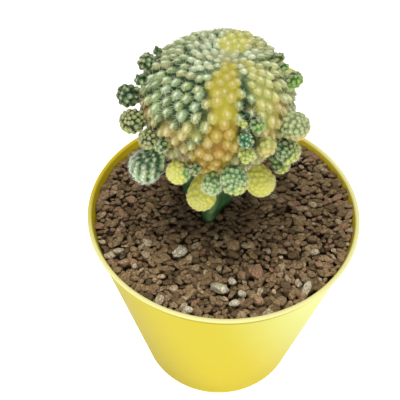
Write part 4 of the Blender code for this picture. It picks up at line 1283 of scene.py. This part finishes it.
def makeOffsets():
    mother = headBall()
    pieces, spined = [], []
    for number, (azimuth, latitude, radius, lift, look) in enumerate(offsets["places"], 1):
        ball = offsetBall(mother, azimuth, latitude, radius*mm, lift, look == "ribbed")
        pitch, _, spineLength, white, relief = offsetLooks[look][4:]
        if look == "ribbed":
            aims, pitches = ball.ribs(*offsets["ribs"])
        else:
            aims, pitches = ball.spiral(offsets["polePitch"]*pitch*mm, pitch*mm, ball.radius)
        pieces.append(skinPiece("offset%02d" % number, ball, ball.areoles(aims, pitches, number), offsets,
                                lambda *skin: paintOffset(*skin, look)))
        free = aims[:, 2] > offsets["spinesFrom"]
        alike = np.ones(sum(free))
        spined.append(ball.areoles(aims[free], pitches[free], number, spineLength=spineLength*mm*alike,
                                   white=white*alike, relief=relief*alike))
    return pieces, {label: np.concatenate([areoles[label] for areoles in spined]) for label in spined[0]}


offsetPieces, offsetAreoles = makeOffsets()
offsetSpines = spinePiece("offsetSpines", offsetAreoles, offsets)
print("offsets grown:", len(offsetPieces), "with", len(offsetSpines.data.polygons), "faces of spines")


# Floor and light: a white table under an even, bright sky, with a soft key from above

studio = {
    "floor": 20.0,  # side, in metres
    "floorTone": (0.92, 0.92, 0.92), "floorPale": (0.94, 0.94, 0.94), "floorClouds": (60*mm, 2),
    "floorRoughness": (0.6, 0.1),
    "white": (1, 1, 1, 1),  # of the floor's glow and of the sky
    "floorGlow": 0.8, "sky": 0.44,
    # Lamps as (direction from the middle of the plant, distance, diameter, watts)
    "lamps": (((-0.1, 0.1, 1), 0.9, 0.4, 4.8), ((-0.15, -1, 0.35), 0.9, 0.6, 3.2),
              ((1, -0.2, 0.25), 0.9, 0.6, 1.2)),
}


def floorFinish():
    finish = Finish("whiteTable")
    clouds = finish.noise(finish.spot, *studio["floorClouds"])
    finish.colour(finish.mix(clouds, studio["floorTone"], studio["floorPale"]))
    finish.roughness(weighed(studio["floorRoughness"], 1, clouds))
    finish.shader.inputs["Emission Color"].default_value = studio["white"]
    finish.shader.inputs["Emission Strength"].default_value = studio["floorGlow"]
    return finish.material


def makeFloor():
    half = studio["floor"]/2
    mesh = bpy.data.meshes.new("floor")
    corners = [(-half, -half, 0), (half, -half, 0), (half, half, 0), (-half, half, 0)]
    mesh.from_pydata(corners, [], [range(4)])
    floor = newPiece("floor", mesh)
    coat(floor, floorFinish())


def makeLight():
    world = bpy.data.worlds.new("sky")
    bpy.context.scene.world = world
    world.use_nodes = True
    sky = world.node_tree.nodes["Background"]
    sky.inputs["Color"].default_value = studio["white"]
    sky.inputs["Strength"].default_value = studio["sky"]
    for number, (aim, distance, size, watts) in enumerate(studio["lamps"]):
        light = bpy.data.lights.new("lamp", "AREA")
        light.shape, light.size, light.energy = "DISK", size, watts
        lamp = bpy.data.objects.new("lamp%d" % number, light)
        aim = Vector(aim).normalized()
        turn = aim.to_track_quat("Z", "Y").to_matrix().to_4x4()
        lamp.matrix_world = Matrix.Translation(aim*distance + Vector((0, 0, view["aim"]))) @ turn
        bpy.context.scene.collection.objects.link(lamp)
    bpy.context.scene.view_settings.view_transform = "Standard"


makeFloor()
makeLight()
print("floor and light placed")


# Each piece rides on the one body and stands for its node, whose solid is hidden

def stand(piece, slot, *nodes):
    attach(piece, body)
    if nodes:
        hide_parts(*nodes)


stand(yellowPot, "pot", "pot")
stand(volcanicGravel, "gravel", "gravel")
stand(graftedStem, "rootstock", "rootstock")
stand(motherHead, "head_skin", "mother_head")
stand(motherSpines, "head_skin")
stand(offsetSpines, "offset_green")
slots = {part["node"]: part["material_slot"] for part in frame["record"]["subparts"]}
for number, piece in enumerate(offsetPieces, 1):
    node = "offset_%02d" % number
    stand(piece, slots[node], node)
